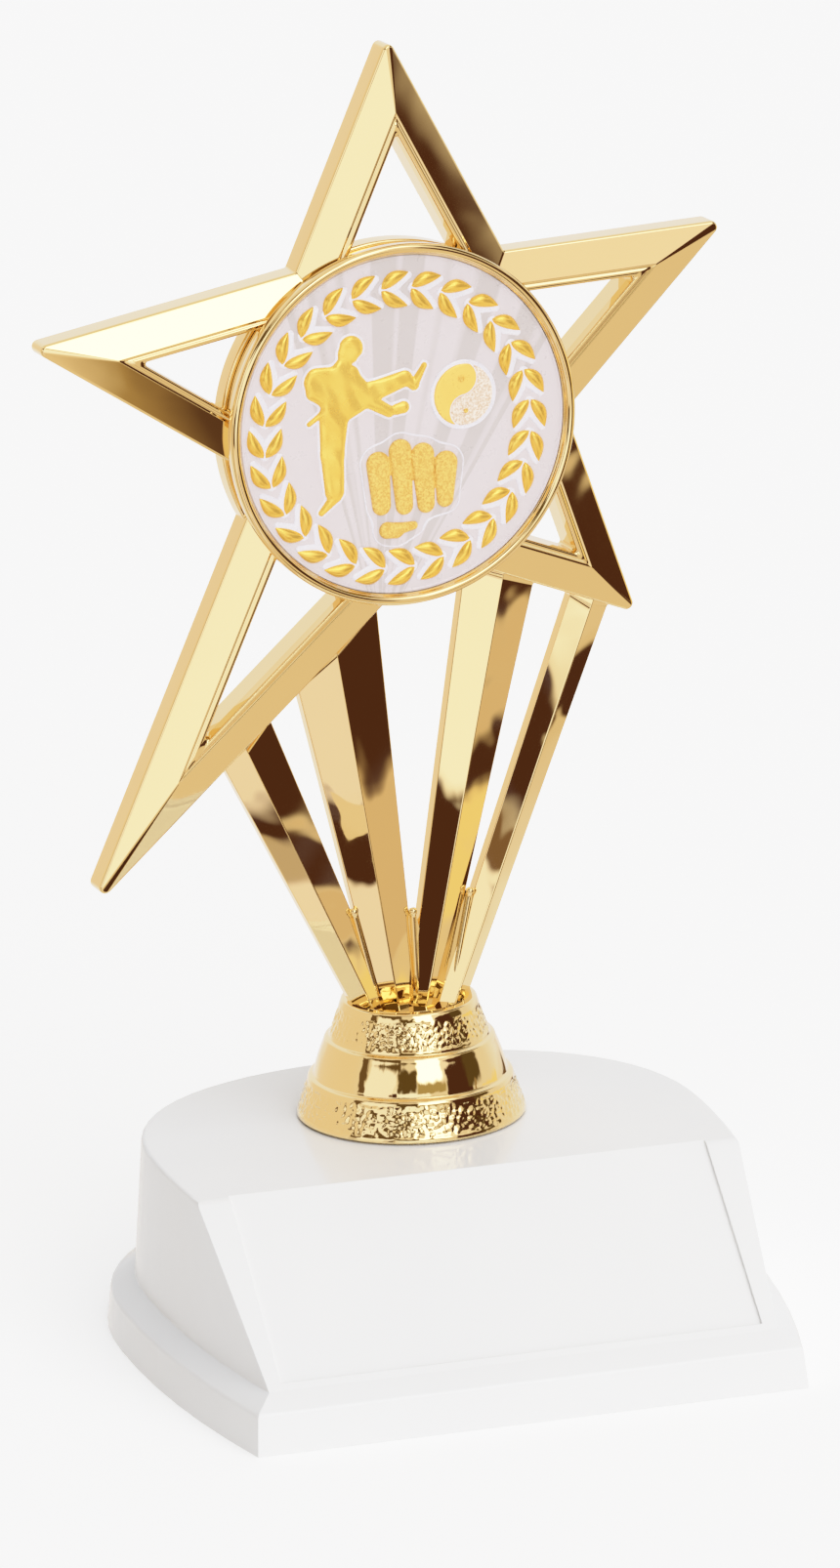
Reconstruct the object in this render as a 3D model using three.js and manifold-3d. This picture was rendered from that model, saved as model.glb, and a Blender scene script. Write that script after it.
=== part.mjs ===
// Star award trophy: a gold star riser clamped to a glossy white plastic base with a slanted front.
// Units are millimetres, +Z is up and the front faces -Y. The pieces are drawn about the stem axis, and
// the whole trophy is then shifted so that the origin is under the middle of its overall box.
import * as THREE from 'three';
import { mergeVertices } from 'three/addons/utils/BufferGeometryUtils.js';
import Module from 'manifold-3d';

const wasm = await Module();
wasm.setup();

// ---- Driving dimensions -------------------------------------------------------------------------

const CLEARANCE = 0.3; // air between pieces that touch in the real trophy

const BASE = {
  topHeight: 29.8,
  footHeight: 8.2, // where the body meets the ledge of the flange
  flangeHeight: 6.4,
  topHalfWidth: 43.8,
  footHalfWidth: 45.5,
  flangeTopHalfWidth: 49.2,
  flangeHalfWidth: 49.9,
  widestY: -10, // the sides are widest here and draw in towards the front
  backDepth: 38.3, // from the widest line to the back of the top face
  backExponent: 2.35, // squareness of the rounded back
  sideDrawIn: 0.0026, // mm of draw-in per mm squared
  topFrontY: -30.8,
  footFrontY: -57.6,
  flangeTopFrontY: -61.2,
  flangeFrontY: -62.2,
  edgeRound: 0.6,
  sideSteps: 6,
  backSteps: 32,
  wall: 2.4,
  slantFactor: 1.3,
};

const LABEL = { halfWidth: 37.5, length: 33, depth: 0.6, overrun: 6 };

const BOSS = { radius: 9, bottom: 17.5, hole: 3.4 };

const WEB = { thickness: 1.8, bottom: 19, reach: 140 }; // the reach runs past the walls and is trimmed

const SCREW = {
  radius: 2.95,
  threadDepth: 0.35,
  pitch: 1.5,
  threadLength: 9,
  tip: 43.3,
  headAcrossFlats: 10,
  headHeight: 4,
};

const WASHER = { outer: 6.5, inner: 3.3, thickness: 1.2 };

const BELL = {
  height: 18.4,
  bottomRadius: 17.75,
  lowerStep: { height: 6.1, below: 15.75, above: 15.0 },
  upperStep: { height: 12.1, below: 13.1, above: 12.4 },
  topRadius: 10.4,
  bowlRadius: 8.3,
  bowlFloorRadius: 7.8,
  bowlFloor: 15.9,
  socketRadius: 6.6,
  socketFloor: 8.4,
  floorUnderside: 5.4,
  cavityRadius: 15.6,
  cavityTaper: 3,
  holeRadius: 3.5,
  chamfer: 0.45,
  rimRound: 0.9,
};

const RISER = {
  turn: THREE.MathUtils.degToRad(5.2), // the riser stands turned on its clamp screw
  discX: -1.0,
  discHeight: 139.9,
  rear: -2.0, // depths are measured forwards from the stem axis
  edgeFront: 2.4,
  ridgeFront: 4.3,
};

const STAR = {
  tips: [[0.7, 58.4], [55.2, 25.1], [39.3, -34.9], [-51.3, -71.0], [-57.2, 16.9]],
  notches: [[18.6, 24.0], [28.2, -1.8], [5.8, -21.6], [-21.4, -7.0], [-15.1, 24.1]],
  barWidth: 6.5,
  lipWidth: 1.1, // the narrow bevel that falls from the ridge to each window's edge
  lipFront: 2.6,
  tipRadius: 1.0,
  edgeChamfer: 0.4,
  tipSteps: 5,
  channelWall: 1.3,
  channelDepth: 2.8,
};

const HUB = { radius: 27.4, front: 1.6 };

// Each rib is three straight lines in the riser's plane, as x at height 50 and x per mm of height.
const RIBS = [
  { left: [-10.3, -0.490], ridge: [-7.8, -0.443], right: [-4.2, -0.383], top: 99 },
  { left: [-5.7, -0.227], ridge: [-2.9, -0.150], right: [1.1, -0.080], top: 124 },
  { left: [0.2, 0.160], ridge: [2.6, 0.215], right: [5.9, 0.261], top: 124 },
  { left: [5.8, 0.376], ridge: [8.1, 0.395], right: [10.6, 0.416], top: 110 },
];

const FAN = {
  seat: BASE.topHeight + BELL.height + 2 * CLEARANCE, // the fan stands on the bell's rim
  lineHeight: 50, // the height at which the rib lines are stated
  bottom: BASE.topHeight + BELL.bowlFloor + 2 * CLEARANCE,
  rear: -1.5,
  edgeFront: 0.6,
  ridgeFront: 2.4,
  webRear: -0.9,
  webFront: 0.7,
  webHalfWidth: 3.4,
  beadFront: 1.5,
  beadRadius: 0.6,
  intoBar: 3.0,
};

// Where two ribs part: the crotch between them, and where its bead ends at the bell.
const CROTCHES = [
  { top: [-9.0, 63.2], foot: [-4.9, 46.6] },
  { top: [0.7, 62.0], foot: [1.2, 46.6] },
  { top: [10.2, 64.0], foot: [6.4, 46.6] },
];

const TENON = { radius: 6.2, bottom: 38.8, top: 46.9, boreRadius: 4.6, boreTop: 43.9 };

const INSERT = { radius: 4.1, top: 43.6, bore: 3.25, flangeRadius: 4.3, flange: 1.0, waist: 0.4 };

const CUP = { outer: 26.8, inner: 25.8, rear: 1.9, floor: 1.3, front: 5.3 };

const BEZEL = { outer: 27.8, inner: 25.7, rear: 5.6, front: 7.5, bead: 0.7, innerBead: 0.45 };

const PAD = { outer: 21, thickness: 1.1 };

const DISC = { radius: 25.4, rear: 4.9, front: 6.4, edgeStep: 0.3 };

// Heights above the disc's face, and the middle of the design on it.
const RELIEF = {
  centre: [-0.3, -0.6],
  root: 0.4,
  wreath: 0.6,
  figure: 0.7,
  symbol: 0.45,
  stud: 0.65,
  patch: 0.2,
  fist: 0.55,
};

const WREATH = {
  pairs: 28,
  phase: 0.35, // share of a pair's pitch
  centre: [-0.55, 0.1],
  radius: 21.5,
  leafLength: 5.0,
  leafWidth: 2.1,
  turnIn: 0.13,
  spread: 0.48,
  rootGap: 0.7,
};

// Limbs and fingers run between two circles, each given as x, y and radius.
const HIP = [-10.6, 3.2, 2.3];
const CHEST = [-11.2, 7.6, 2.7];
const FIGURE = [
  [[-8.2, 12.5, 1.8], [-7.9, 13.3, 2.0]],
  [[-9.0, 10.8, 1.2], CHEST],
  [CHEST, HIP],
  [[-13.5, 8.9, 1.5], [-13.9, 7.0, 1.15]],
  [[-8.2, 8.7, 1.6], [-6.0, 6.4, 1.4]],
  [[-6.0, 5.2, 1.2], [-1.8, 2.9, 1.0]],
  [[-0.6, 3.1, 0.9], [0.4, 3.3, 1.0]],
  [HIP, [-4.6, 6.0, 1.75]],
  [[-4.6, 6.0, 1.65], [0.8, 7.7, 1.3]],
  [[2.2, 6.6, 0.7], [3.8, 9.2, 0.55]],
  [HIP, [-11.2, -2.6, 1.9]],
  [[-11.2, -2.6, 1.9], [-11.0, -8.5, 1.5]],
  [[-11.0, -9.6, 0.9], [-13.1, -11.4, 0.6]],
  [[-12.5, 3.8, 0.5], [-14.6, 2.4, 0.4]],
];

const FIST = [
  [[-3.9, -5.0, 1.8], [-3.5, -11.5, 1.45]],
  [[-0.3, -3.4, 1.75], [0.2, -11.9, 1.4]],
  [[3.3, -4.4, 1.8], [3.7, -12.0, 1.4]],
  [[7.0, -6.1, 1.8], [6.8, -11.5, 1.35]],
  [[-2.7, -15.5, 1.25], [1.4, -15.1, 0.7]],
];

const PATCH = [
  [-6.6, -3.2], [-4.9, -1.9], [-3.2, -1.6], [-1.4, -0.4], [0.8, -0.6], [2.6, -1.6], [5.2, -2.2],
  [8.0, -3.6], [9.4, -6.4], [8.8, -11.6], [7.2, -13.8], [3.6, -15.0], [2.2, -16.4], [-3.4, -17.4],
  [-5.2, -15.2], [-6.4, -9.2],
];

const SYMBOL = { centre: [10.1, 4.2], radius: 5, rim: 0.35, eye: 0.6, turn: 8 };

// ---- Materials ----------------------------------------------------------------------------------

function material(color, roughness, metalness) {
  return new THREE.MeshStandardMaterial({ color, roughness, metalness });
}

const gold = material(0xd9ad5b, 0.12, 1.0);
const goldFoil = material(0xf0be3a, 0.3, 0.8);
const whitePlastic = material(0xf3f3f3, 0.15, 0.0);
const foam = material(0xe6e3dc, 0.9, 0.0);
const zincSteel = material(0xb8bcc0, 0.35, 1.0);
const brass = material(0xb99645, 0.35, 1.0);

// ---- Solid helpers ------------------------------------------------------------------------------

function dropSlivers(indices) {
  const kept = [];
  for (let i = 0; i < indices.length; i += 3) {
    const [a, b, c] = [indices[i], indices[i + 1], indices[i + 2]];
    if (a !== b && b !== c && c !== a) kept.push(a, b, c);
  }
  return kept;
}

function toSolid(geometry) {
  const bare = geometry.index ? geometry.clone() : mergeVertices(geometry);
  bare.deleteAttribute('normal');
  bare.deleteAttribute('uv');
  const merged = mergeVertices(bare, 1e-4);
  const triangles = dropSlivers(Array.from(merged.index.array));
  return new wasm.Manifold(new wasm.Mesh({
    numProp: 3,
    vertProperties: Float32Array.from(merged.attributes.position.array),
    triVerts: Uint32Array.from(triangles),
  }));
}

function toGeometry(solid) {
  const mesh = solid.getMesh();
  const geometry = new THREE.BufferGeometry();
  geometry.setAttribute('position', new THREE.BufferAttribute(Float32Array.from(mesh.vertProperties), 3));
  geometry.setIndex(new THREE.BufferAttribute(Uint32Array.from(mesh.triVerts), 1));
  const flat = geometry.toNonIndexed();
  flat.computeVertexNormals();
  return flat;
}

function joined(solids) {
  return solids.reduce((sum, next) => sum.add(next));
}

// A skin over rings of equal point count; each ring is [points, level]. It is closed by a cap at each
// end, or, when it is looped, by joining the last ring back to the first.
function loft(rings, looped = false) {
  const count = rings[0][0].length;
  const positions = rings.flatMap(([points, level]) => points.flatMap((p) => [p.x, p.y, level]));
  const indices = [];
  const bands = looped ? rings.length : rings.length - 1;
  for (let ring = 0; ring < bands; ring += 1) {
    const low = ring * count;
    const high = ((ring + 1) % rings.length) * count;
    for (let i = 0; i < count; i += 1) {
      const next = (i + 1) % count;
      indices.push(low + i, low + next, high + next, low + i, high + next, high + i);
    }
  }
  if (!looped) {
    const last = (rings.length - 1) * count;
    THREE.ShapeUtils.triangulateShape(rings[0][0], []).forEach(([a, b, c]) => indices.push(c, b, a));
    THREE.ShapeUtils.triangulateShape(rings.at(-1)[0], [])
      .forEach(([a, b, c]) => indices.push(last + a, last + b, last + c));
  }
  const geometry = new THREE.BufferGeometry();
  geometry.setAttribute('position', new THREE.Float32BufferAttribute(positions, 3));
  geometry.setIndex(indices);
  return toSolid(geometry);
}

function prism(points, low, high) {
  return loft([[points, low], [points, high]]);
}

function extruded(shape, low, high, curveSegments = 8) {
  const options = { depth: high - low, bevelEnabled: false, curveSegments };
  return toSolid(new THREE.ExtrudeGeometry(shape, options).translate(0, 0, low));
}

// A turned solid about +Z from [radius, height] pairs that start and end on the axis or close up.
function turned(profile, segments = 48) {
  const points = profile.map(([radius, height]) => new THREE.Vector2(radius, height));
  return toSolid(new THREE.LatheGeometry(points, segments).rotateX(Math.PI / 2));
}

function rod(radius, low, high, segments = 32) {
  return turned([[0, low], [radius, low], [radius, high], [0, high]], segments);
}

function tube(outer, inner, low, high, segments = 48) {
  return turned([[inner, low], [outer, low], [outer, high], [inner, high], [inner, low]], segments);
}

function block(width, depth, height, x, y, z) {
  return toSolid(new THREE.BoxGeometry(width, depth, height).translate(x, y, z));
}

function vectors(pairs) {
  return pairs.map(([x, y]) => new THREE.Vector2(x, y));
}

// ---- Base ---------------------------------------------------------------------------------------

// Plan outline, counter-clockwise from the front right corner.
function basePlan(halfWidth, frontY, inset = 0) {
  const widest = halfWidth - inset;
  const back = BASE.backDepth + (halfWidth - BASE.topHalfWidth) - inset;
  const front = frontY + inset;
  const { sideSteps, backSteps } = BASE;
  const points = [];
  const onSide = (sign, share) => {
    const y = THREE.MathUtils.lerp(front, BASE.widestY, share);
    const drawIn = BASE.sideDrawIn * (y - BASE.widestY) ** 2;
    return new THREE.Vector2(sign * (widest - drawIn), y);
  };
  for (let i = 0; i < sideSteps; i += 1) points.push(onSide(1, i / sideSteps));
  for (let i = 0; i <= backSteps; i += 1) {
    const angle = (Math.PI * i) / backSteps;
    const power = 2 / BASE.backExponent;
    const x = Math.sign(Math.cos(angle)) * Math.abs(Math.cos(angle)) ** power;
    points.push(new THREE.Vector2(widest * x, BASE.widestY + back * Math.sin(angle) ** power));
  }
  for (let i = sideSteps - 1; i >= 0; i -= 1) points.push(onSide(-1, i / sideSteps));
  return points;
}

// The slanted front's y and the wall's half width at a height of the body.
function bodyRing(height, inset = 0) {
  const share = (height - BASE.footHeight) / (BASE.topHeight - BASE.footHeight);
  const halfWidth = THREE.MathUtils.lerp(BASE.footHalfWidth, BASE.topHalfWidth, share);
  const frontY = THREE.MathUtils.lerp(BASE.footFrontY, BASE.topFrontY, share);
  return basePlan(halfWidth, frontY, inset);
}

function baseOuter() {
  const round = BASE.edgeRound;
  return loft([
    [basePlan(BASE.flangeHalfWidth, BASE.flangeFrontY), 0],
    [basePlan(BASE.flangeTopHalfWidth, BASE.flangeTopFrontY), BASE.flangeHeight - round],
    [basePlan(BASE.flangeTopHalfWidth, BASE.flangeTopFrontY, round * 0.7), BASE.flangeHeight],
    [bodyRing(BASE.footHeight), BASE.footHeight],
    [bodyRing(BASE.topHeight - round), BASE.topHeight - round],
    [bodyRing(BASE.topHeight - round * 0.3, round * 0.3), BASE.topHeight - round * 0.3],
    [bodyRing(BASE.topHeight, round), BASE.topHeight],
  ]);
}

// The slanted wall is thicker level-wise than it is through, so its inset is scaled up by a factor.
function baseCavity() {
  const top = BASE.topHeight - BASE.wall;
  const low = BASE.footHeight - BASE.wall / 2;
  const slantInset = BASE.wall * BASE.slantFactor;
  return loft([
    [basePlan(BASE.flangeHalfWidth, BASE.flangeFrontY, BASE.wall), -1],
    [basePlan(BASE.flangeTopHalfWidth, BASE.flangeTopFrontY, BASE.wall), BASE.flangeHeight - BASE.wall],
    [bodyRing(low, slantInset), low],
    [bodyRing(top, slantInset), top],
  ]);
}

function slantFrame() {
  const run = new THREE.Vector3(0, BASE.footFrontY - BASE.topFrontY, BASE.footHeight - BASE.topHeight);
  const down = run.normalize();
  const across = new THREE.Vector3(1, 0, 0);
  const outward = new THREE.Vector3().crossVectors(across, down).multiplyScalar(-1);
  const basis = new THREE.Matrix4().makeBasis(across, outward, down);
  return basis.setPosition(0, BASE.topFrontY, BASE.topHeight);
}

// The label field is sunk into the slanted face and runs out over its top edge.
function labelCut() {
  const length = LABEL.length + LABEL.overrun;
  const thickness = 2 * LABEL.depth;
  const slab = new THREE.BoxGeometry(2 * LABEL.halfWidth, thickness, length);
  slab.translate(0, 0, length / 2 - LABEL.overrun);
  return toSolid(slab.applyMatrix4(slantFrame()));
}

function baseWebs() {
  const top = BASE.topHeight - BASE.wall / 2;
  const height = top - WEB.bottom;
  const z = (top + WEB.bottom) / 2;
  const across = block(WEB.reach, WEB.thickness, height, 0, 0, z);
  const along = block(WEB.thickness, WEB.reach, height, 0, 0, z);
  return across.add(along);
}

function baseShell() {
  const outer = baseOuter();
  const inside = joined([rod(BOSS.radius, BOSS.bottom, BASE.topHeight - 1), baseWebs()]);
  return outer
    .subtract(baseCavity())
    .add(inside.intersect(outer))
    .subtract(rod(BOSS.hole, -1, BASE.topHeight + 1))
    .subtract(labelCut());
}

// ---- Clamp screw, washer and threaded insert ----------------------------------------------------

function washer() {
  const top = BOSS.bottom - CLEARANCE;
  return tube(WASHER.outer, WASHER.inner, top - WASHER.thickness, top, 40);
}

function clampScrew() {
  const headTop = BOSS.bottom - WASHER.thickness - 2 * CLEARANCE;
  const threadFrom = SCREW.tip - SCREW.threadLength;
  const root = SCREW.radius - SCREW.threadDepth;
  const profile = [[0, headTop - 1], [SCREW.radius, headTop - 1], [SCREW.radius, threadFrom]];
  for (let z = threadFrom + SCREW.pitch / 2; z < SCREW.tip - SCREW.pitch; z += SCREW.pitch) {
    profile.push([root, z], [SCREW.radius, z + SCREW.pitch / 2]);
  }
  profile.push([root, SCREW.tip], [0, SCREW.tip]);
  const corner = SCREW.headAcrossFlats / 2 / Math.cos(Math.PI / 6);
  const head = rod(corner, headTop - SCREW.headHeight, headTop, 6);
  return head.add(turned(profile, 24));
}

function threadedInsert() {
  const { radius, top, bore, flangeRadius, flange, waist } = INSERT;
  const bottom = TENON.bottom;
  return turned([
    [bore, bottom],
    [flangeRadius, bottom],
    [flangeRadius, bottom + flange],
    [radius - waist, bottom + flange],
    [radius - waist, bottom + 2 * flange],
    [radius, bottom + 2 * flange],
    [radius, top],
    [bore, top],
    [bore, bottom],
  ], 32);
}

// ---- Stem bell ----------------------------------------------------------------------------------

function stemBell() {
  const { lowerStep, upperStep, chamfer, rimRound } = BELL;
  return turned([
    [BELL.cavityRadius, 0],
    [BELL.bottomRadius - chamfer, 0],
    [BELL.bottomRadius, chamfer],
    [lowerStep.below + 0.1, lowerStep.height - chamfer],
    [lowerStep.below - chamfer, lowerStep.height],
    [lowerStep.above, lowerStep.height + 0.2],
    [upperStep.below + 0.1, upperStep.height - chamfer],
    [upperStep.below - chamfer, upperStep.height],
    [upperStep.above, upperStep.height + 0.2],
    [BELL.topRadius + 0.1, BELL.height - 2 * chamfer],
    [BELL.topRadius - rimRound / 3, BELL.height - chamfer / 2],
    [BELL.topRadius - rimRound, BELL.height],
    [BELL.bowlRadius + 0.4, BELL.height],
    [BELL.bowlRadius, BELL.height - chamfer],
    [BELL.bowlFloorRadius, BELL.bowlFloor],
    [BELL.socketRadius, BELL.bowlFloor],
    [BELL.socketRadius, BELL.socketFloor],
    [BELL.holeRadius, BELL.socketFloor],
    [BELL.holeRadius, BELL.floorUnderside],
    [BELL.cavityRadius - BELL.cavityTaper, BELL.floorUnderside],
    [BELL.cavityRadius, 0],
  ], 64);
}

// ---- Star riser (drawn in x and height, with depth measured forwards) ---------------------------

function mitred(points, index, inset) {
  const count = points.length;
  const here = points[index];
  const before = here.clone().sub(points[(index + count - 1) % count]).normalize();
  const after = points[(index + 1) % count].clone().sub(here).normalize();
  const inwardBefore = new THREE.Vector2(-before.y, before.x);
  const inwardAfter = new THREE.Vector2(-after.y, after.x);
  const bisector = inwardBefore.add(inwardAfter);
  return here.clone().addScaledVector(bisector, (2 * inset) / bisector.lengthSq());
}

// The star's outline moved inwards, with rounded tips while the inset is under the tip radius.
function starRing(inset) {
  const corners = [];
  STAR.tips.forEach((tip, i) => corners.push(tip, STAR.notches[i]));
  const outline = vectors(corners).reverse();
  return outline.flatMap((corner, i) => {
    const isTip = i % 2 === 1;
    if (!isTip) return [mitred(outline, i, inset)];
    const centre = mitred(outline, i, STAR.tipRadius);
    const radius = Math.max(STAR.tipRadius - inset, 0);
    const before = outline[i - 1];
    const after = outline[(i + 1) % outline.length];
    const edgeIn = corner.clone().sub(before).angle() - Math.PI / 2;
    let edgeOut = after.clone().sub(corner).angle() - Math.PI / 2;
    while (edgeOut < edgeIn) edgeOut += 2 * Math.PI;
    return Array.from({ length: STAR.tipSteps + 1 }, (_, step) => {
      if (radius === 0) return mitred(outline, i, inset);
      const angle = THREE.MathUtils.lerp(edgeIn, edgeOut, step / STAR.tipSteps);
      return new THREE.Vector2(Math.cos(angle), Math.sin(angle)).multiplyScalar(radius).add(centre);
    });
  });
}

// One bar section, as inset from the outline and depth, swept round the star: side wall, sloping
// face, window bevel, window wall, and a channel that cores the bar from behind.
function starFrame() {
  const { barWidth, lipWidth, lipFront, edgeChamfer, channelWall, channelDepth } = STAR;
  const { rear, edgeFront, ridgeFront } = RISER;
  const section = [
    [0, rear],
    [0, edgeFront - edgeChamfer],
    [edgeChamfer, edgeFront],
    [barWidth - lipWidth, ridgeFront],
    [barWidth, lipFront],
    [barWidth, rear],
    [barWidth - channelWall, rear],
    [barWidth - channelWall, rear + channelDepth],
    [channelWall, rear + channelDepth],
    [channelWall, rear],
  ];
  const frame = loft(section.map(([inset, depth]) => [starRing(inset), depth]), true);
  return frame.translate(RISER.discX, RISER.discHeight, 0);
}

function lineX([atLine, slope], height) {
  return atLine + slope * (height - FAN.lineHeight);
}

// A rib's section in x and depth at a height, counter-clockwise seen from above the riser.
function ribSection(rib, height) {
  const left = lineX(rib.left, height);
  const right = lineX(rib.right, height);
  return vectors([
    [left, -FAN.edgeFront],
    [lineX(rib.ridge, height), -FAN.ridgeFront],
    [right, -FAN.edgeFront],
    [right, -FAN.rear],
    [left, -FAN.rear],
  ]);
}

function towardsFront(solid) {
  return solid.rotate([-90, 0, 0]);
}

function rib(lines) {
  return towardsFront(loft([
    [ribSection(lines, FAN.bottom), FAN.bottom],
    [ribSection(lines, lines.top), lines.top],
  ]));
}

// The web that closes the fan below a crotch, and the round bead that runs down its middle.
function crotchWeb({ top, foot }) {
  const web = prism(vectors([
    [top[0] - FAN.beadRadius, top[1]],
    [foot[0] - FAN.webHalfWidth, foot[1]],
    [foot[0] + FAN.webHalfWidth, foot[1]],
    [top[0] + FAN.beadRadius, top[1]],
  ]), FAN.webRear, FAN.webFront);
  const along = new THREE.Vector2(foot[0] - top[0], foot[1] - top[1]);
  const bead = new THREE.CylinderGeometry(FAN.beadRadius, FAN.beadRadius, along.length(), 8);
  bead.rotateZ(along.angle() - Math.PI / 2);
  bead.translate((top[0] + foot[0]) / 2, (top[1] + foot[1]) / 2, FAN.beadFront - FAN.beadRadius);
  const knob = new THREE.SphereGeometry(FAN.beadRadius, 10, 8);
  knob.translate(top[0], top[1], FAN.beadFront - FAN.beadRadius);
  return joined([web, toSolid(bead), toSolid(knob)]);
}

function uprightRod(radius, low, high, segments = 32) {
  return rod(radius, low, high, segments).rotate([-90, 0, 0]);
}

function ribFan() {
  const fan = joined([...RIBS.map(rib), ...CROTCHES.map(crotchWeb)]);
  const insideStar = prism(starRing(FAN.intoBar), -20, 20).translate(RISER.discX, RISER.discHeight, 0);
  const inBowl = uprightRod(BELL.bowlFloorRadius - CLEARANCE, 0, FAN.seat + 1, 40);
  const rimSpace = uprightRod(2 * BELL.topRadius, 1, FAN.seat, 16).subtract(inBowl);
  return fan.subtract(insideStar).subtract(rimSpace);
}

function tenon() {
  return uprightRod(TENON.radius, TENON.bottom, TENON.top, 40);
}

function starRiser() {
  const place = (solid) => solid.translate(RISER.discX, RISER.discHeight, 0);
  const hub = place(rod(HUB.radius, RISER.rear, HUB.front, 72));
  const cupSpace = place(rod(CUP.outer + CLEARANCE, HUB.front, 12, 72));
  const bore = uprightRod(TENON.boreRadius, TENON.bottom - 1, TENON.boreTop, 32);
  return joined([starFrame(), ribFan(), hub, tenon()]).subtract(cupSpace).subtract(bore);
}

// ---- Holder, bezel, pad and emblem disc (turned about the forward axis) -------------------------

function holderCup() {
  const floorTop = CUP.rear + CUP.floor;
  return turned([
    [0, CUP.rear],
    [CUP.outer, CUP.rear],
    [CUP.outer, CUP.front],
    [CUP.inner, CUP.front],
    [CUP.inner, floorTop],
    [0, floorTop],
  ], 72);
}

// Two beads side by side, the outer one standing higher, with a shallow groove between them.
function bezelRing() {
  const { outer, inner, rear, front, bead, innerBead } = BEZEL;
  return turned([
    [inner, rear],
    [outer, rear],
    [outer, front - 1.3 * bead],
    [outer - 0.3 * bead, front - 0.4 * bead],
    [outer - bead, front],
    [outer - 1.6 * bead, front - 0.25 * bead],
    [outer - 1.85 * bead, front - 0.7 * bead],
    [inner + innerBead, front - 0.8 * innerBead],
    [inner + 0.4 * innerBead, front - 1.1 * innerBead],
    [inner, front - 2 * innerBead],
    [inner, rear],
  ], 72);
}

function adhesivePad() {
  const rear = CUP.rear + CUP.floor + CLEARANCE;
  return rod(PAD.outer, rear, rear + PAD.thickness, 48);
}

function leafShape(length, width) {
  const leaf = new THREE.Shape();
  leaf.moveTo(0, 0);
  leaf.quadraticCurveTo(length * 0.35, width, length, 0);
  leaf.quadraticCurveTo(length * 0.35, -width * 0.9, 0, 0);
  return leaf;
}

// Pairs of leaves that open clockwise, all the way round.
function wreath() {
  const leaves = [];
  for (let pair = 0; pair < WREATH.pairs; pair += 1) {
    const angle = (2 * Math.PI * (pair + WREATH.phase)) / WREATH.pairs;
    const heading = angle - Math.PI / 2 - WREATH.turnIn;
    [-1, 1].forEach((side) => {
      const leaf = extruded(leafShape(WREATH.leafLength, WREATH.leafWidth), -RELIEF.root, RELIEF.wreath, 3);
      const turn = THREE.MathUtils.radToDeg(heading + side * WREATH.spread);
      const radius = WREATH.radius - (side * WREATH.rootGap) / 2;
      const x = WREATH.centre[0] + radius * Math.cos(angle);
      const y = WREATH.centre[1] + radius * Math.sin(angle);
      leaves.push(leaf.rotate([0, 0, turn]).translate(x, y, 0));
    });
  }
  return joined(leaves);
}

// A limb is two circles and their common tangents.
function limbShape([x0, y0, r0], [x1, y1, r1]) {
  const heading = Math.atan2(y1 - y0, x1 - x0);
  const lean = Math.acos((r0 - r1) / Math.hypot(x1 - x0, y1 - y0));
  const limb = new THREE.Shape();
  limb.absarc(x0, y0, r0, heading + lean, heading - lean + 2 * Math.PI, false);
  limb.absarc(x1, y1, r1, heading - lean, heading + lean, false);
  return limb;
}

function raisedLimbs(limbs, height) {
  return joined(limbs.map(([from, to]) => extruded(limbShape(from, to), -RELIEF.root, height, 5)));
}

function fistPatch() {
  const outline = new THREE.Shape(vectors(PATCH).reverse());
  return extruded(outline, -RELIEF.root, RELIEF.patch);
}

// The two-lobed round symbol: a low disc with one raised lobe.
function roundSymbol() {
  const { centre, radius, rim, eye, turn } = SYMBOL;
  const half = radius / 2;
  const lobe = new THREE.Shape();
  lobe.absarc(0, 0, radius, Math.PI / 2, (3 * Math.PI) / 2, false);
  lobe.absarc(0, -half, half, -Math.PI / 2, Math.PI / 2, true);
  lobe.absarc(0, half, half, -Math.PI / 2, Math.PI / 2, false);
  const raised = extruded(lobe, -RELIEF.root, RELIEF.symbol, 12);
  const stud = rod(eye, -RELIEF.root, RELIEF.stud, 12).translate(0, half, 0);
  const ground = rod(radius + rim, -RELIEF.root, RELIEF.patch, 36);
  return joined([ground, raised, stud]).rotate([0, 0, turn]).translate(...centre, 0);
}

function emblemDisc() {
  const { radius, rear, front, edgeStep } = DISC;
  const plate = turned([
    [0, rear],
    [radius, rear],
    [radius, front - edgeStep],
    [radius - edgeStep, front],
    [0, front],
  ], 72);
  const figure = raisedLimbs(FIGURE, RELIEF.figure);
  const fist = raisedLimbs(FIST, RELIEF.fist);
  const relief = joined([wreath(), figure, fistPatch(), fist, roundSymbol()]);
  return plate.add(relief.translate(...RELIEF.centre, front));
}

// ---- Scene graph --------------------------------------------------------------------------------

function addPiece(group, name, solid, pieceMaterial, position = [0, 0, 0]) {
  const mesh = new THREE.Mesh(toGeometry(solid), pieceMaterial);
  mesh.name = name;
  mesh.position.set(...position);
  group.add(mesh);
  return mesh;
}

const trophy = new THREE.Group();
addPiece(trophy, 'base_shell', baseShell(), whitePlastic);
addPiece(trophy, 'clamp_screw', clampScrew(), zincSteel);
addPiece(trophy, 'screw_washer', washer(), zincSteel);

const riser = new THREE.Group();
riser.rotation.z = RISER.turn;
trophy.add(riser);
addPiece(riser, 'stem_bell', stemBell(), gold, [0, 0, BASE.topHeight + CLEARANCE]);
addPiece(riser, 'threaded_insert', threadedInsert(), brass);

// Local x, y and z of the upright group are the riser's x, height and depth forwards.
const upright = new THREE.Group();
upright.rotation.x = Math.PI / 2;
riser.add(upright);
addPiece(upright, 'star_riser', starRiser(), gold);

const medallion = [RISER.discX, RISER.discHeight, 0];
addPiece(upright, 'holder_cup', holderCup(), gold, medallion);
addPiece(upright, 'bezel_ring', bezelRing(), gold, medallion);
addPiece(upright, 'adhesive_pad', adhesivePad(), foam, medallion);
addPiece(upright, 'emblem_disc', emblemDisc(), goldFoil, medallion);

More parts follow.
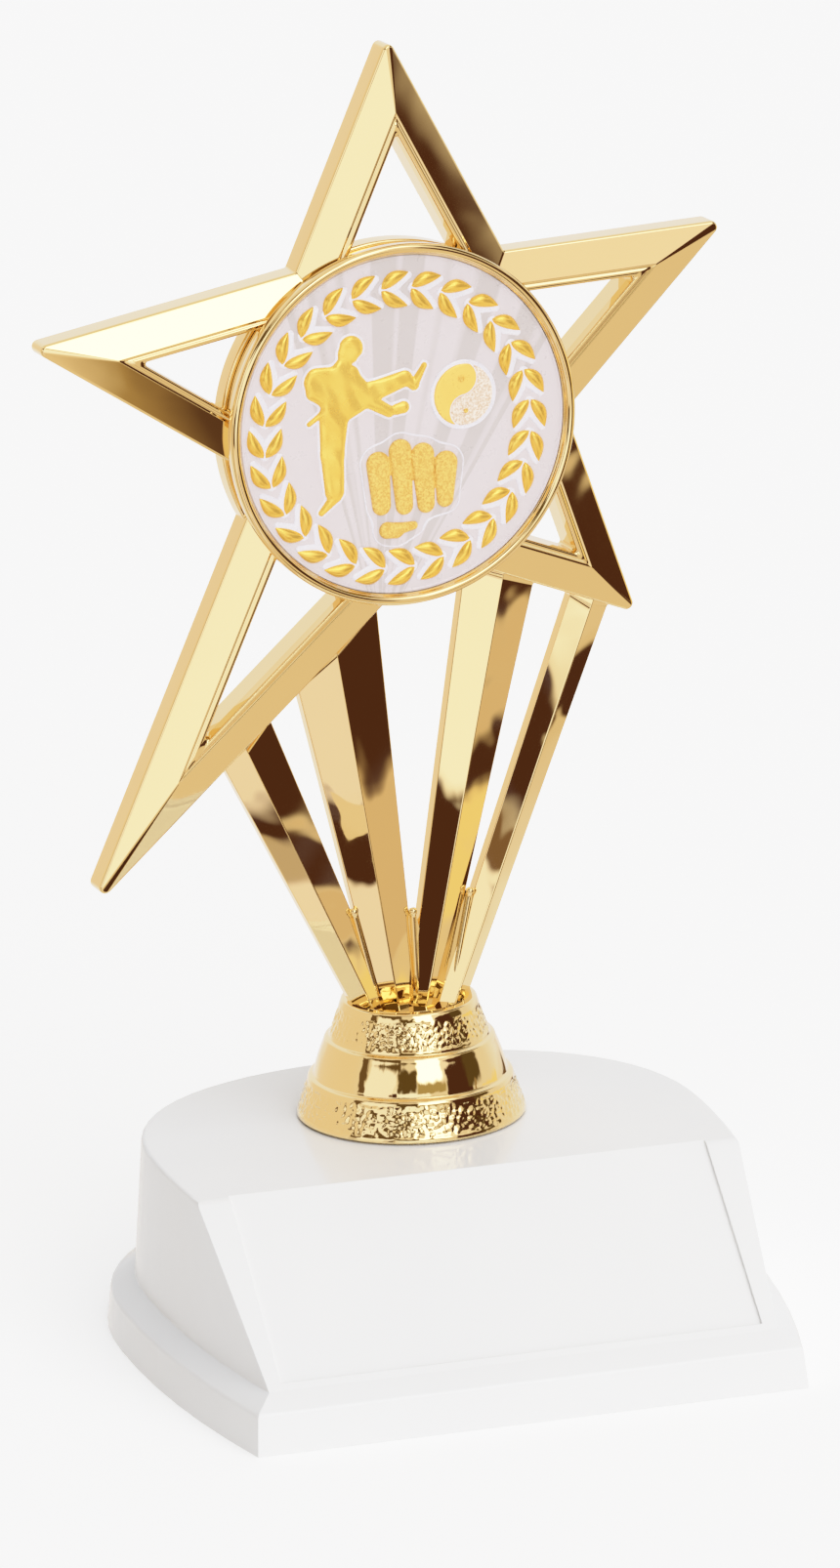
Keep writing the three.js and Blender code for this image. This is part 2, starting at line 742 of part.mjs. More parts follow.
const overall = new THREE.Box3().setFromObject(trophy);
trophy.position.x = -(overall.min.x + overall.max.x) / 2;
trophy.position.y = -(overall.min.y + overall.max.y) / 2;

export default trophy;
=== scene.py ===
import math
import bpy
import bmesh
import numpy as np
from mathutils import Matrix, Vector, noise


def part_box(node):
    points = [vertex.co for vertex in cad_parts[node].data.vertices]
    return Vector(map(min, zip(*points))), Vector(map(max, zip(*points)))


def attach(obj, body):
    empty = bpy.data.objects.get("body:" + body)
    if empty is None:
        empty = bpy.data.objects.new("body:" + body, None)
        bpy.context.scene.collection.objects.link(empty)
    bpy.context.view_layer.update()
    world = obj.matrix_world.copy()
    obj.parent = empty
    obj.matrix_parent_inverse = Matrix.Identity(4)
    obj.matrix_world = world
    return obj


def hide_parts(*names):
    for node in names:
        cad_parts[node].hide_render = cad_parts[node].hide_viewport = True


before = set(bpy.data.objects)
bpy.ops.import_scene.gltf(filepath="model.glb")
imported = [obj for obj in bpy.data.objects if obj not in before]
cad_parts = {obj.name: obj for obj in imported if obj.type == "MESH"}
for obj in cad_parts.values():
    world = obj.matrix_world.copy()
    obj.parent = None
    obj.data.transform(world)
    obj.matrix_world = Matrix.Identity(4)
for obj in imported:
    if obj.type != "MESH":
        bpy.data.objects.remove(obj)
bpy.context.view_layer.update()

MM = 0.001

# ---- The riser's own axes ------------------------------------------------------------------------
# Riser pieces are written in mm as (x, height, depth forwards) and turned about the stem's axis.
bell_low, bell_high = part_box("stem_bell")
AXIS_X = (bell_low.x + bell_high.x) / 2
AXIS_Y = (bell_low.y + bell_high.y) / 2
BELL_Z = bell_low.z
TURN = math.radians(5.2)
DISC_X, DISC_H = -1.0, 139.9


def on_riser(points, at_disc=False):
    """World positions of riser points; at_disc measures x and height from the medallion's middle."""
    p = np.asarray(points, float)
    x, h, d = p[..., 0], p[..., 1], p[..., 2]
    if at_disc:
        x, h = x + DISC_X, h + DISC_H
    c, s = math.cos(TURN), math.sin(TURN)
    return np.stack([AXIS_X + (x * c + d * s) * MM, AXIS_Y + (x * s - d * c) * MM, h * MM], -1)


# ---- Mesh helpers --------------------------------------------------------------------------------
def make_object(name, verts, faces, smooth_angle=None, weighted=True):
    mesh = bpy.data.meshes.new(name)
    mesh.from_pydata([tuple(v) for v in verts], [], [tuple(int(i) for i in f) for f in faces])
    work = bmesh.new()
    work.from_mesh(mesh)
    bmesh.ops.recalc_face_normals(work, faces=work.faces)
    work.to_mesh(mesh)
    work.free()
    return finish_object(name, mesh, smooth_angle, weighted)


def finish_object(name, mesh, smooth_angle=None, weighted=True):
    mesh.shade_smooth()
    if smooth_angle is not None:
        mesh.set_sharp_from_angle(angle=math.radians(smooth_angle))
    obj = bpy.data.objects.new(name, mesh)
    bpy.context.scene.collection.objects.link(obj)
    if weighted:
        modifier = obj.modifiers.new("normals", "WEIGHTED_NORMAL")
        modifier.mode = "FACE_AREA"
        modifier.weight = 80
        modifier.keep_sharp = True
    return obj


def grid_faces(rings, count, loop_rings=False):
    """Quads between neighbouring rings of `count` points; the last ring can join the first."""
    faces = []
    for r in range(rings if loop_rings else rings - 1):
        a, b = r * count, ((r + 1) % rings) * count
        for i in range(count):
            j = (i + 1) % count
            faces.append((a + i, a + j, b + j, b + i))
    return faces


class Builder:
    """Gathers several shells into one mesh."""

    def __init__(self):
        self.verts, self.faces = [], []

    def add(self, verts, faces):
        start = len(self.verts)
        self.verts.extend(np.asarray(verts, float).reshape(-1, 3))
        self.faces.extend([[start + int(i) for i in f] for f in faces])

    def loft(self, rings, loop_rings=False):
        count = len(rings[0])
        verts = np.concatenate([np.asarray(r, float) for r in rings])
        faces = grid_faces(len(rings), count, loop_rings)
        if not loop_rings:
            last = (len(rings) - 1) * count
            faces.append(list(range(count))[::-1])
            faces.append([last + i for i in range(count)])
        self.add(verts, faces)

    def object(self, name, smooth_angle=None, weighted=True):
        return make_object(name, self.verts, self.faces, smooth_angle, weighted)


ARC_SHARE = 0.48  # the most of a side that a corner's arc may take up


def rounded(profile, steps=4):
    """A profile of (a, b, radius) corners with each corner turned into an arc; the ends stay put."""
    out = []
    for i, (a, b, radius) in enumerate(profile):
        if radius <= 0 or i in (0, len(profile) - 1):
            out.append((a, b))
            continue
        here, before, after = (Vector(p[:2]) for p in (profile[i], profile[i - 1], profile[i + 1]))
        u, v = before - here, after - here
        half = u.angle(v) / 2
        reach = min(radius / math.tan(half), ARC_SHARE * u.length, ARC_SHARE * v.length)
        r = reach * math.tan(half)
        centre = here + (u.normalized() + v.normalized()).normalized() * (r / math.sin(half))
        p, q = here + u.normalized() * reach - centre, here + v.normalized() * reach - centre
        turn = math.atan2(p.x * q.y - p.y * q.x, p.dot(q))
        for s in range(steps + 1):
            w = turn * s / steps
            c, t = math.cos(w), math.sin(w)
            out.append((centre.x + p.x * c - p.y * t, centre.y + p.x * t + p.y * c))
    return out


def turned(profile, segments=128):
    """Rings of (u, v, w) about the w axis from (radius, w) pairs."""
    angles = np.linspace(0, 2 * math.pi, segments, endpoint=False)
    cosines, sines = np.cos(angles), np.sin(angles)
    return [np.stack([r * cosines, r * sines, np.full(segments, w)], -1) for r, w in profile]


# ---- Node material helpers -----------------------------------------------------------------------
def new_material(name):
    mat = bpy.data.materials.new(name)
    mat.use_nodes = True
    nodes, links = mat.node_tree.nodes, mat.node_tree.links
    shader = next(n for n in nodes if n.type == "BSDF_PRINCIPLED")
    coords = nodes.new("ShaderNodeTexCoord")
    return mat, nodes, links, shader, coords


def add_noise(nodes, links, coords, scale, detail=3.0, roughness=0.5, distortion=0.0):
    tex = nodes.new("ShaderNodeTexNoise")
    tex.inputs["Scale"].default_value = scale
    tex.inputs["Detail"].default_value = detail
    tex.inputs["Roughness"].default_value = roughness
    tex.inputs["Distortion"].default_value = distortion
    links.new(coords.outputs["Object"], tex.inputs["Vector"])
    return tex


def add_ramp(nodes, links, source, stops):
    ramp = nodes.new("ShaderNodeValToRGB")
    elements = ramp.color_ramp.elements
    while len(elements) < len(stops):
        elements.new(0.5)
    for element, (pos, colour) in zip(elements, stops):
        element.position = pos
        element.color = (*colour, 1)
    links.new(source, ramp.inputs["Fac"])
    return ramp


def add_bump(nodes, links, shader, height, strength, distance, before=None):
    bump = nodes.new("ShaderNodeBump")
    bump.inputs["Strength"].default_value = strength
    bump.inputs["Distance"].default_value = distance
    links.new(height, bump.inputs["Height"])
    if before is not None:
        links.new(before.outputs["Normal"], bump.inputs["Normal"])
    links.new(bump.outputs["Normal"], shader.inputs["Normal"])
    return bump


def maths_in(nodes, links):
    """A function that adds one maths node to this tree and gives back its output."""

    def maths(operation, a, b=0.0):
        node = nodes.new("ShaderNodeMath")
        node.operation = operation
        for i, value in enumerate((a, b)):
            if isinstance(value, (int, float)):
                node.inputs[i].default_value = value
            else:
                links.new(value, node.inputs[i])
        return node.outputs[0]

    return maths


def grey(v):
    return (v, v, v)


def metal(name, colour, variation, rough, wave=None, grain=None, coat=0.0):
    mat, nodes, links, shader, coords = new_material(name)
    shader.inputs["Metallic"].default_value = 1.0
    tint = add_noise(nodes, links, coords, 45, 3)
    dark = tuple(c * (1 - variation) for c in colour)
    colours = add_ramp(nodes, links, tint.outputs["Fac"], [(0.3, dark), (0.7, colour)])
    links.new(colours.outputs["Color"], shader.inputs["Base Color"])
    mottle = add_noise(nodes, links, coords, 260, 5, 0.6)
    levels = add_ramp(nodes, links, mottle.outputs["Fac"], [(0.25, grey(rough[0])), (0.8, grey(rough[1]))])
    links.new(levels.outputs["Color"], shader.inputs["Roughness"])
    if coat:
        shader.inputs["Coat Weight"].default_value = coat
        shader.inputs["Coat Roughness"].default_value = 0.03
        shader.inputs["Coat IOR"].default_value = 1.45
    bump = None
    if wave:
        low = add_noise(nodes, links, coords, wave[0], 2, 0.4, 0.3)
        bump = add_bump(nodes, links, shader, low.outputs["Fac"], wave[1], wave[2])
    if grain:
        fine = add_noise(nodes, links, coords, grain[0], 3, 0.6)
        add_bump(nodes, links, shader, fine.outputs["Fac"], grain[1], grain[2], bump)
    return mat


GOLD = (0.93, 0.69, 0.315)
gold_mirror = metal("gold_mirror", GOLD, 0.03, (0.02, 0.045), wave=(45, 0.3, 0.0006), coat=0.8)
gold_rib = metal("gold_mirror_ribs", GOLD, 0.03, (0.012, 0.03), wave=(55, 0.35, 0.0010), coat=0.8)
gold_hammered = metal("gold_hammered", GOLD, 0.05, (0.05, 0.11), wave=(600, 0.45, 0.0003), coat=0.5)
# The bowl's gold is paler than the rest of the gold. This is painted light: it stands in for bright
# highlights where repeated gold bounces would turn orange.
gold_bowl_painted_light = metal("gold_bowl_painted_light", (0.98, 0.89, 0.66), 0.03, (0.04, 0.09), wave=(300, 0.4, 0.0004), coat=0.5)
zinc = metal("zinc_plate", (0.66, 0.68, 0.71), 0.12, (0.25, 0.42), grain=(1800, 0.2, 0.0001))
brass = metal("turned_brass", (0.72, 0.55, 0.26), 0.12, (0.22, 0.4), grain=(1600, 0.2, 0.0001))


def foil(name, colour, shade, speckle, rough, metallic):
    mat, nodes, links, shader, coords = new_material(name)
    shader.inputs["Metallic"].default_value = metallic
    if speckle:
        tint = nodes.new("ShaderNodeTexVoronoi")
        tint.inputs["Scale"].default_value = 4400
        links.new(coords.outputs["Object"], tint.inputs["Vector"])
        source = tint.outputs["Color"]
    else:
        source = add_noise(nodes, links, coords, 220, 3).outputs["Fac"]
    colours = add_ramp(nodes, links, source, [(0.25, shade), (0.75, colour)])
    links.new(colours.outputs["Color"], shader.inputs["Base Color"])
    mottle = add_noise(nodes, links, coords, 900, 4, 0.6)
    levels = add_ramp(nodes, links, mottle.outputs["Fac"], [(0.3, grey(rough[0])), (0.75, grey(rough[1]))])
    links.new(levels.outputs["Color"], shader.inputs["Roughness"])
    scale, strength, distance = (3800, 0.9, 0.00025) if speckle else (700, 0.04, 0.0001)
    fine = add_noise(nodes, links, coords, scale, 2, 0.6)
    add_bump(nodes, links, shader, fine.outputs["Fac"], strength, distance)
    return mat


gold_foil = foil("gold_foil", (1.0, 0.62, 0.11), (0.98, 0.56, 0.09), False, (0.24, 0.29), 0.45)
gold_flat = foil("gold_flat_foil", (1.0, 0.60, 0.13), (0.98, 0.56, 0.11), False, (0.26, 0.32), 0.18)
gold_leaf = foil("gold_leaf", (1.0, 0.60, 0.11), (0.97, 0.54, 0.08), False, (0.22, 0.27), 0.65)
gold_stipple = foil("gold_stipple", (1.0, 0.64, 0.15), (0.80, 0.42, 0.07), True, (0.3, 0.5), 0.25)
pale_glitter = foil("pale_glitter", (1.0, 0.84, 0.72), (0.74, 0.52, 0.36), True, (0.3, 0.5), 0.2)


def white_gloss():
    mat, nodes, links, shader, coords = new_material("white_gloss_moulding")
    tint = add_noise(nodes, links, coords, 30, 3)
    stops = [(0.3, (0.82, 0.82, 0.825)), (0.7, (0.85, 0.85, 0.85))]
    colours = add_ramp(nodes, links, tint.outputs["Fac"], stops)
    links.new(colours.outputs["Color"], shader.inputs["Base Color"])
    mottle = add_noise(nodes, links, coords, 400, 4)
    levels = add_ramp(nodes, links, mottle.outputs["Fac"], [(0.3, grey(0.1)), (0.75, grey(0.16))])
    links.new(levels.outputs["Color"], shader.inputs["Roughness"])
    peel = add_noise(nodes, links, coords, 350, 2)
    add_bump(nodes, links, shader, peel.outputs["Fac"], 0.05, 0.0002)
    return mat


RAY_SIDE, RAY_DROP = 4.0, 32.0       # where the rays spring from, left of and below the middle, mm
RAY_LEAN, RAY_SPREAD = 0.16, 0.42    # the fan's middle and half width, radians


def pearl_ground():
    """Lilac-white pearl with pale grey rays that fan out from below the medallion."""
    mat, nodes, links, shader, coords = new_material("pearl_ground")
    maths = maths_in(nodes, links)
    split = nodes.new("ShaderNodeSeparateXYZ")
    links.new(coords.outputs["Object"], split.inputs[0])
    across = maths("SUBTRACT", split.outputs["X"], AXIS_X + (DISC_X - RAY_SIDE) * MM)
    above = maths("SUBTRACT", split.outputs["Z"], (DISC_H - RAY_DROP) * MM)
    lean = maths("ARCTAN2", across, above)
    wide = nodes.new("ShaderNodeTexNoise")
    wide.noise_dimensions = "1D"
    wide.inputs["Scale"].default_value = 13.0
    wide.inputs["Detail"].default_value = 0.6
    links.new(lean, wide.inputs["W"])
    rays = add_ramp(nodes, links, wide.outputs["Fac"], [(0.48, grey(0.0)), (0.53, grey(1.0))])
    inside = maths("LESS_THAN", maths("ABSOLUTE", maths("SUBTRACT", lean, RAY_LEAN)), RAY_SPREAD)
    share = maths("MULTIPLY", rays.outputs["Color"], inside)
    mix = nodes.new("ShaderNodeMix")
    mix.data_type = "RGBA"
    links.new(share, mix.inputs["Factor"])
    mix.inputs["A"].default_value = (0.67, 0.595, 0.615, 1)
    mix.inputs["B"].default_value = (0.56, 0.50, 0.495, 1)
    links.new(mix.outputs["Result"], shader.inputs["Base Color"])
    shader.inputs["Metallic"].default_value = 0.1
    mottle = add_noise(nodes, links, coords, 500, 4)
    levels = add_ramp(nodes, links, mottle.outputs["Fac"], [(0.3, grey(0.26)), (0.75, grey(0.34))])
    links.new(levels.outputs["Color"], shader.inputs["Roughness"])
    shader.inputs["Coat Weight"].default_value = 0.3
    shader.inputs["Coat Roughness"].default_value = 0.1
    fine = add_noise(nodes, links, coords, 700, 2)
    add_bump(nodes, links, shader, fine.outputs["Fac"], 0.03, 0.0001)
    return mat


def foam_tape():
    mat, nodes, links, shader, coords = new_material("foam_tape")
    cells = nodes.new("ShaderNodeTexVoronoi")
    cells.inputs["Scale"].default_value = 1800
    links.new(coords.outputs["Object"], cells.inputs["Vector"])
    stops = [(0.0, (0.62, 0.60, 0.55)), (0.6, (0.85, 0.83, 0.79))]
    colours = add_ramp(nodes, links, cells.outputs["Distance"], stops)
    links.new(colours.outputs["Color"], shader.inputs["Base Color"])
    shader.inputs["Roughness"].default_value = 0.9
    add_bump(nodes, links, shader, cells.outputs["Distance"], 0.6, 0.0002)
    return mat


white_plastic = white_gloss()
pearl = pearl_ground()
pearl_edge = foil("pearl_edge", (0.80, 0.765, 0.83), (0.74, 0.70, 0.77), False, (0.25, 0.33), 0.1)
foam = foam_tape()


def piece(obj, body, slot, material, *replaced):
    obj.data.materials.clear()
    obj.data.materials.append(material)
    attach(obj, body)
    if replaced:
        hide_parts(*replaced)
    return obj


def finish_node(name, material):
    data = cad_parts[name].data
    data.materials.clear()
    data.materials.append(material)


finish_node("clamp_screw", zinc)
finish_node("screw_washer", zinc)
finish_node("threaded_insert", brass)
finish_node("adhesive_pad", foam)


# ---- Base moulding -------------------------------------------------------------------------------
def base_moulding():
    """The CAD base with its flat triangles merged and every hard edge rounded over."""
    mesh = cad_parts["base_shell"].data.copy()
    mesh.materials.clear()
    work = bmesh.new()
    work.from_mesh(mesh)
    bmesh.ops.remove_doubles(work, verts=work.verts, dist=2e-6)
    bmesh.ops.dissolve_limit(work, angle_limit=math.radians(0.4), verts=work.verts, edges=work.edges)
    work.to_mesh(mesh)
    work.free()
    obj = finish_object("base_moulding", mesh, None, False)
    bevel = obj.modifiers.new("edges", "BEVEL")
    bevel.limit_method = "ANGLE"
    bevel.angle_limit = math.radians(28)
    bevel.width = 0.35 * MM
    bevel.segments = 3
    bevel.miter_outer = "MITER_ARC"
    normals = obj.modifiers.new("normals", "WEIGHTED_NORMAL")
    normals.weight = 80
    return obj


piece(base_moulding(), "base", "white_plastic", white_plastic, "base_shell")


# ---- Stem bell -----------------------------------------------------------------------------------
DENT_CELL, DENT_DEPTH, DENT_SWELL = 0.00105, 0.00016, 0.00006  # metres
BELL_SEGMENTS = 420
BOWL_RIM_ROWS = 4  # the last rows of the rim take the bowl's paler gold, which is painted light


def dented(x, y, z):
    """Depth of the hammered texture at a point, in metres: round dents that run into each other."""
    point = Vector((x / DENT_CELL, y / DENT_CELL, z / DENT_CELL))
    near = noise.voronoi(point)[0]
    return DENT_DEPTH * (1.0 - min(1.0, (near[1] - near[0]) * 2.2)) + DENT_SWELL * noise.noise(point * 0.6)


def stem_bell():
    """The bell as turned rows of (radius, height) from its foot up, with two hammered bands."""
    b = Builder()

    def band(low, high, rows):
        """The rows strictly between two corners of the profile."""
        (r0, z0), (r1, z1) = low, high
        return [(r0 + (r1 - r0) * i / rows, z0 + (z1 - z0) * i / rows) for i in range(1, rows)]

    outside = [(15.6, 0.0), (17.3, 0.0)]
    outside += rounded([(17.3, 0.0, 0), (17.75, 0.0, 0.3), (17.62, 0.6, 0)], 3)[1:]
    lower = band((17.62, 0.6), (15.95, 5.5), 20)
    step_one = rounded([(15.95, 5.5, 0), (15.75, 6.15, 0.45), (15.0, 6.3, 0.25), (14.93, 6.7, 0)], 3)
    step_two = rounded([(13.32, 11.5, 0), (13.1, 12.15, 0.45), (12.4, 12.3, 0.25), (12.33, 12.7, 0)], 3)
    belly = [(14.93 - 1.61 * t + 0.4 * t * (1 - t), 6.7 + 4.8 * t) for t in np.linspace(0.1, 0.9, 9)]
    upper = band((12.33, 12.7), (10.75, 17.2), 20)
    rim = rounded([
        (10.75, 17.2, 0), (10.35, 18.35, 0.5), (9.3, 18.4, 0.3), (8.7, 18.3, 0.4), (8.15, 17.5, 0)], 4)
    inside = [(7.8, 15.9), (6.6, 15.9), (6.6, 8.4), (3.5, 8.4), (3.5, 5.4), (12.6, 5.4), (15.6, 0.0)]
    profile = outside + lower + step_one + belly + step_two + upper + rim + inside
    rings = turned(profile, BELL_SEGMENTS)
    start_lower, end_lower = len(outside), len(outside) + len(lower)
    start_upper = end_lower + len(step_one) + len(belly) + len(step_two)
    end_upper = start_upper + len(upper)
    for first, end in ((start_lower, end_lower), (start_upper, end_upper)):
        for index in range(first, end):
            fade = min(1.0, (index - first + 0.3) / 1.5, (end - 1 - index + 0.3) / 1.5)
            for p in rings[index]:
                radius = math.hypot(p[0], p[1])
                depth = dented(p[0] * MM, p[1] * MM, p[2] * MM) / MM * fade
                p[0] *= (radius - depth) / radius
                p[1] *= (radius - depth) / radius
    verts = np.concatenate(rings) * MM + np.array([AXIS_X, AXIS_Y, BELL_Z])
    b.add(verts, grid_faces(len(rings), BELL_SEGMENTS))
    obj = b.object("stem_bell_turned", 50, False)
    obj.data.materials.append(gold_mirror)
    obj.data.materials.append(gold_hammered)
    obj.data.materials.append(gold_bowl_painted_light)
    # The bowl's rows take the paler gold, which is painted highlight.
    bowl_row = len(profile) - len(inside) - BOWL_RIM_ROWS
    for polygon in obj.data.polygons:
        row = polygon.index // BELL_SEGMENTS
        if start_lower <= row < end_lower - 1 or start_upper <= row < end_upper:
            polygon.material_index = 1
        elif row >= bowl_row:
            polygon.material_index = 2
    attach(obj, "riser")
    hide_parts("stem_bell")


stem_bell()

# ---- Star, hub and ribs --------------------------------------------------------------------------
# The star's outer and inner corners, in mm from the medallion's middle.
TIPS = [(0.7, 58.4), (55.2, 25.1), (39.3, -34.9), (-51.3, -71.0), (-57.2, 16.9)]
NOTCHES = [(18.6, 24.0), (28.2, -1.8), (5.8, -21.6), (-21.4, -7.0), (-15.1, 24.1)]
OUTLINE = [Vector(p) for pair in zip(TIPS, NOTCHES) for p in pair][::-1]
BAR = 6.5  # how wide a bar is, from the star's outline to its window
STAR_REAR = -2.0
HUB_RADIUS = 27.4
HUB_LIP = 26.4


def offset_corner(i, inset):
    """A corner of the outline moved inwards, and the directions of the sides that meet there."""
    here, before, after = OUTLINE[i], OUTLINE[i - 1], OUTLINE[(i + 1) % 10]
    d0, d1 = (here - before).normalized(), (after - here).normalized()
    bisector = Vector((-d0.y - d1.y, d0.x + d1.x))
    return here + bisector * (2 * inset / bisector.length_squared), d0, d1


def star_ring(inset, steps=6):
    """The outline moved inwards, with the same count of points at every corner."""
    ring = []
    near_window = min(1.0, max(0.0, (inset - 5.0) / 1.0))
    for i in range(10):
        _, d0, d1 = offset_corner(i, 0)
        convex = d0.x * d1.y - d0.y * d1.x > 0
        radius = max(1.02 - inset, 0.12) + 0.3 * near_window if convex else 0.5
        sign = 1 if convex else -1
        centre, _, _ = offset_corner(i, inset + sign * radius)
        a0 = math.atan2(-d0.x, d0.y)
        a1 = math.atan2(-d1.x, d1.y)
        turn = (a1 - a0 + math.pi) % (2 * math.pi) - math.pi
        for s in range(steps + 1):
            w = a0 + turn * s / steps
            reach = sign * radius
            ring.append((centre.x + reach * math.cos(w), centre.y + reach * math.sin(w)))
    return ring


def star_frame(b):
    """The bars, from their section in (inset, depth): sloped face, beaded inner edge, open back."""
    section = rounded([
        (0.6, STAR_REAR, 0), (0.0, STAR_REAR, 0.25), (0.0, 2.42, 0.6), (4.95, 4.14, 0.2), (5.3, 4.0, 0.3),
        (5.65, 4.28, 0.3), (6.3, 4.28, 0.4), (BAR, 2.6, 0.2), (BAR, STAR_REAR, 0.25),
        (5.2, STAR_REAR, 0.2), (5.2, 0.8, 0.4), (1.3, 0.8, 0.4), (1.3, STAR_REAR, 0.2),
        (0.6, STAR_REAR, 0)], 4)[:-1]
    rings = []
    for inset, depth in section:
        rings.append(on_riser([(x, h, depth) for x, h in star_ring(inset)], True))
    b.loft(rings, loop_rings=True)


def outside_by(x, h):
    """How far a point of the riser's plane lies outside the star and the hub; negative inside."""
    p = Vector((x - DISC_X, h - DISC_H))
    best, inside = 1e9, False
    for i in range(10):
        a, c = OUTLINE[i], OUTLINE[(i + 1) % 10]
        t = min(1.0, max(0.0, (p - a).dot(c - a) / (c - a).length_squared))
        best = min(best, (p - a - (c - a) * t).length)
        if (a.y > p.y) != (c.y > p.y) and p.x < (c.x - a.x) * (p.y - a.y) / (c.y - a.y) + a.x:
            inside = not inside
    return min(-best if inside else best, p.length - HUB_RADIUS + 0.3)


# Each rib: its left edge, ridge and right edge as (x at LINE_HEIGHT, slope), and where its top is sought.
RIBS = [
    ((-10.3, -0.490), (-7.8, -0.443), (-4.2, -0.383), 75.0),
    ((-5.7, -0.227), (-2.9, -0.150), (1.1, -0.080), 84.0),
    ((0.2, 0.160), (2.6, 0.215), (5.9, 0.261), 84.0),
    ((5.8, 0.376), (8.1, 0.395), (10.6, 0.416), 84.0),
]
RIB_LOW, RIB_REAR, RIB_EDGE, RIB_RIDGE = 46.3, -1.5, 0.6, 2.4
LINE_HEIGHT = 50.0
RIB_SINK = 0.9         # how far a rib's end runs into the star
RIB_SEARCH_END = 134.0
RIB_FLARE = 0.55       # a rib swells over this distance before it meets the star
RING_DROPS = [70, 55, 42, 30, 20, 12, 7, 4, 2.6, 1.9, 1.5, 1.2, 0.95, 0.75, 0.55, 0.35, 0.0]


def rib(b, left, ridge, right, search_from):
    def corner(line, h):
        return line[0] + line[1] * (h - LINE_HEIGHT)

    def section(h):
        x0, x1, x2 = corner(left, h), corner(ridge, h), corner(right, h)
        loop = [(x1, RIB_REAR, 0), (x2, RIB_REAR, 0.2), (x2, RIB_EDGE, 0.22), (x1, RIB_RIDGE, 0.32),
                (x0, RIB_EDGE, 0.22), (x0, RIB_REAR, 0.2), (x1, RIB_REAR, 0)]
        return rounded(loop, 4)[:-1]

    count = len(section(60.0))
    tops = []
    for k in range(count):
        low = search_from
        while outside_by(section(low)[k][0], low) > 0 and low < RIB_SEARCH_END:
            low += 1.0
        high, low = low, low - 1.0
        for _ in range(18):
            mid = (low + high) / 2
            if outside_by(section(mid)[k][0], mid) > -RIB_SINK:
                low = mid
            else:
                high = mid
        tops.append(low)
    tops = np.array(tops)
    levels = [np.full(count, RIB_LOW), np.full(count, RIB_LOW + 2)]
    for drop in RING_DROPS:
        # A short rib takes fewer rings, so that none falls below its foot.
        if drop < tops.max() - RIB_LOW - 4:
            levels.append(tops - drop * (tops - RIB_LOW - 3) / (tops.max() - RIB_LOW - 3))
    rings = []
    for level in levels:
        ring = []
        for k, h in enumerate(level):
            x, d = section(h)[k]
            away = max(0.0, outside_by(x, h))
            if away < RIB_FLARE:
                centre_x = corner(ridge, h)
                grow = RIB_FLARE - math.sqrt(max(0.0, RIB_FLARE ** 2 - (RIB_FLARE - away) ** 2))
                roof = min(1.0, max(0.0, (RIB_RIDGE - d) / (RIB_RIDGE - RIB_EDGE)))
                x += math.copysign(grow, x - centre_x) * (roof if abs(x - centre_x) > 0.3 else 0.0)
                d += (grow * 0.8 * roof if d > 0 else 0.0)
            ring.append((x, h, d))
        rings.append(on_riser(ring))
    b.loft(rings)


def capsule(b, path, radius, segments=14):
    """A rounded bead along a straight path with swelling ends."""
    start, end = Vector(path[0]), Vector(path[1])
    along = (end - start).normalized()
    side = along.cross(Vector((0, 0, 1))).normalized()
    up = side.cross(along)
    length = (end - start).length
    swelling = [(-0.62, 0.15), (-0.5, 0.42), (-0.25, 0.6), (0.0, 0.66), (0.3, 0.6), (0.6, 0.46)]
    stations = swelling + [(1.0, radius)] + [(length * t, radius) for t in (0.3, 0.6, 0.9, 1.0)]
    angles = [2 * math.pi * i / segments for i in range(segments)]
    rings = []
    for at, r in stations:
        centre = start + along * at
        ring = [tuple(centre + (side * math.cos(w) + up * math.sin(w)) * r) for w in angles]
        rings.append(on_riser(ring))
    b.loft(rings)


# The webs between the ribs: each from the crotch's top to its foot, with a bead down the front.
CROTCHES = [((-9.0, 63.2), (-4.9, 46.6)), ((0.7, 62.0), (1.2, 46.6)), ((10.2, 64.0), (6.4, 46.6))]
WEB_REAR, WEB_FRONT, WEB_EASE = -0.9, 0.7, 0.15
WEB_HALF_TOP, WEB_HALF_FOOT = 0.5, 3.2
BEAD_DEPTH, BEAD_RADIUS = 0.95, 0.42


def webs(b):
    for (top_x, top_h), (foot_x, foot_h) in CROTCHES:
        outline = [
            (top_x - WEB_HALF_TOP, top_h), (foot_x - WEB_HALF_FOOT, foot_h),
            (foot_x + WEB_HALF_FOOT, foot_h), (top_x + WEB_HALF_TOP, top_h)]
        layers = [
            (WEB_REAR, WEB_EASE), (WEB_REAR + WEB_EASE, 0.0),
            (WEB_FRONT - WEB_EASE, 0.0), (WEB_FRONT, WEB_EASE)]
        b.loft([on_riser([(x, h - shrink, depth) for x, h in outline]) for depth, shrink in layers])
        capsule(b, ((top_x, top_h, BEAD_DEPTH), (foot_x, foot_h, BEAD_DEPTH)), BEAD_RADIUS)


def hub(b):
    profile = rounded([
        (0.0, STAR_REAR, 0), (HUB_RADIUS, STAR_REAR, 0.5), (HUB_RADIUS, 1.6, 0.4),
        (HUB_LIP, 1.6, 0.1), (HUB_LIP, 1.3, 0.1), (0.0, 1.3, 0)], 4)
    b.loft([on_riser(r, True) for r in turned(profile[1:-1], 160)])


def tenon(b):
    """The round foot that sits in the bell, bored for the insert."""
    profile = rounded([
        (4.6, 43.9, 0), (4.6, 38.8, 0.1), (6.2, 38.8, 0.4), (6.2, 46.9, 0.3), (2.0, 46.9, 0)], 3)
    rings = [on_riser([(p[0], p[2], p[1]) for p in r]) for r in turned(profile, 48)]
    b.loft(rings)


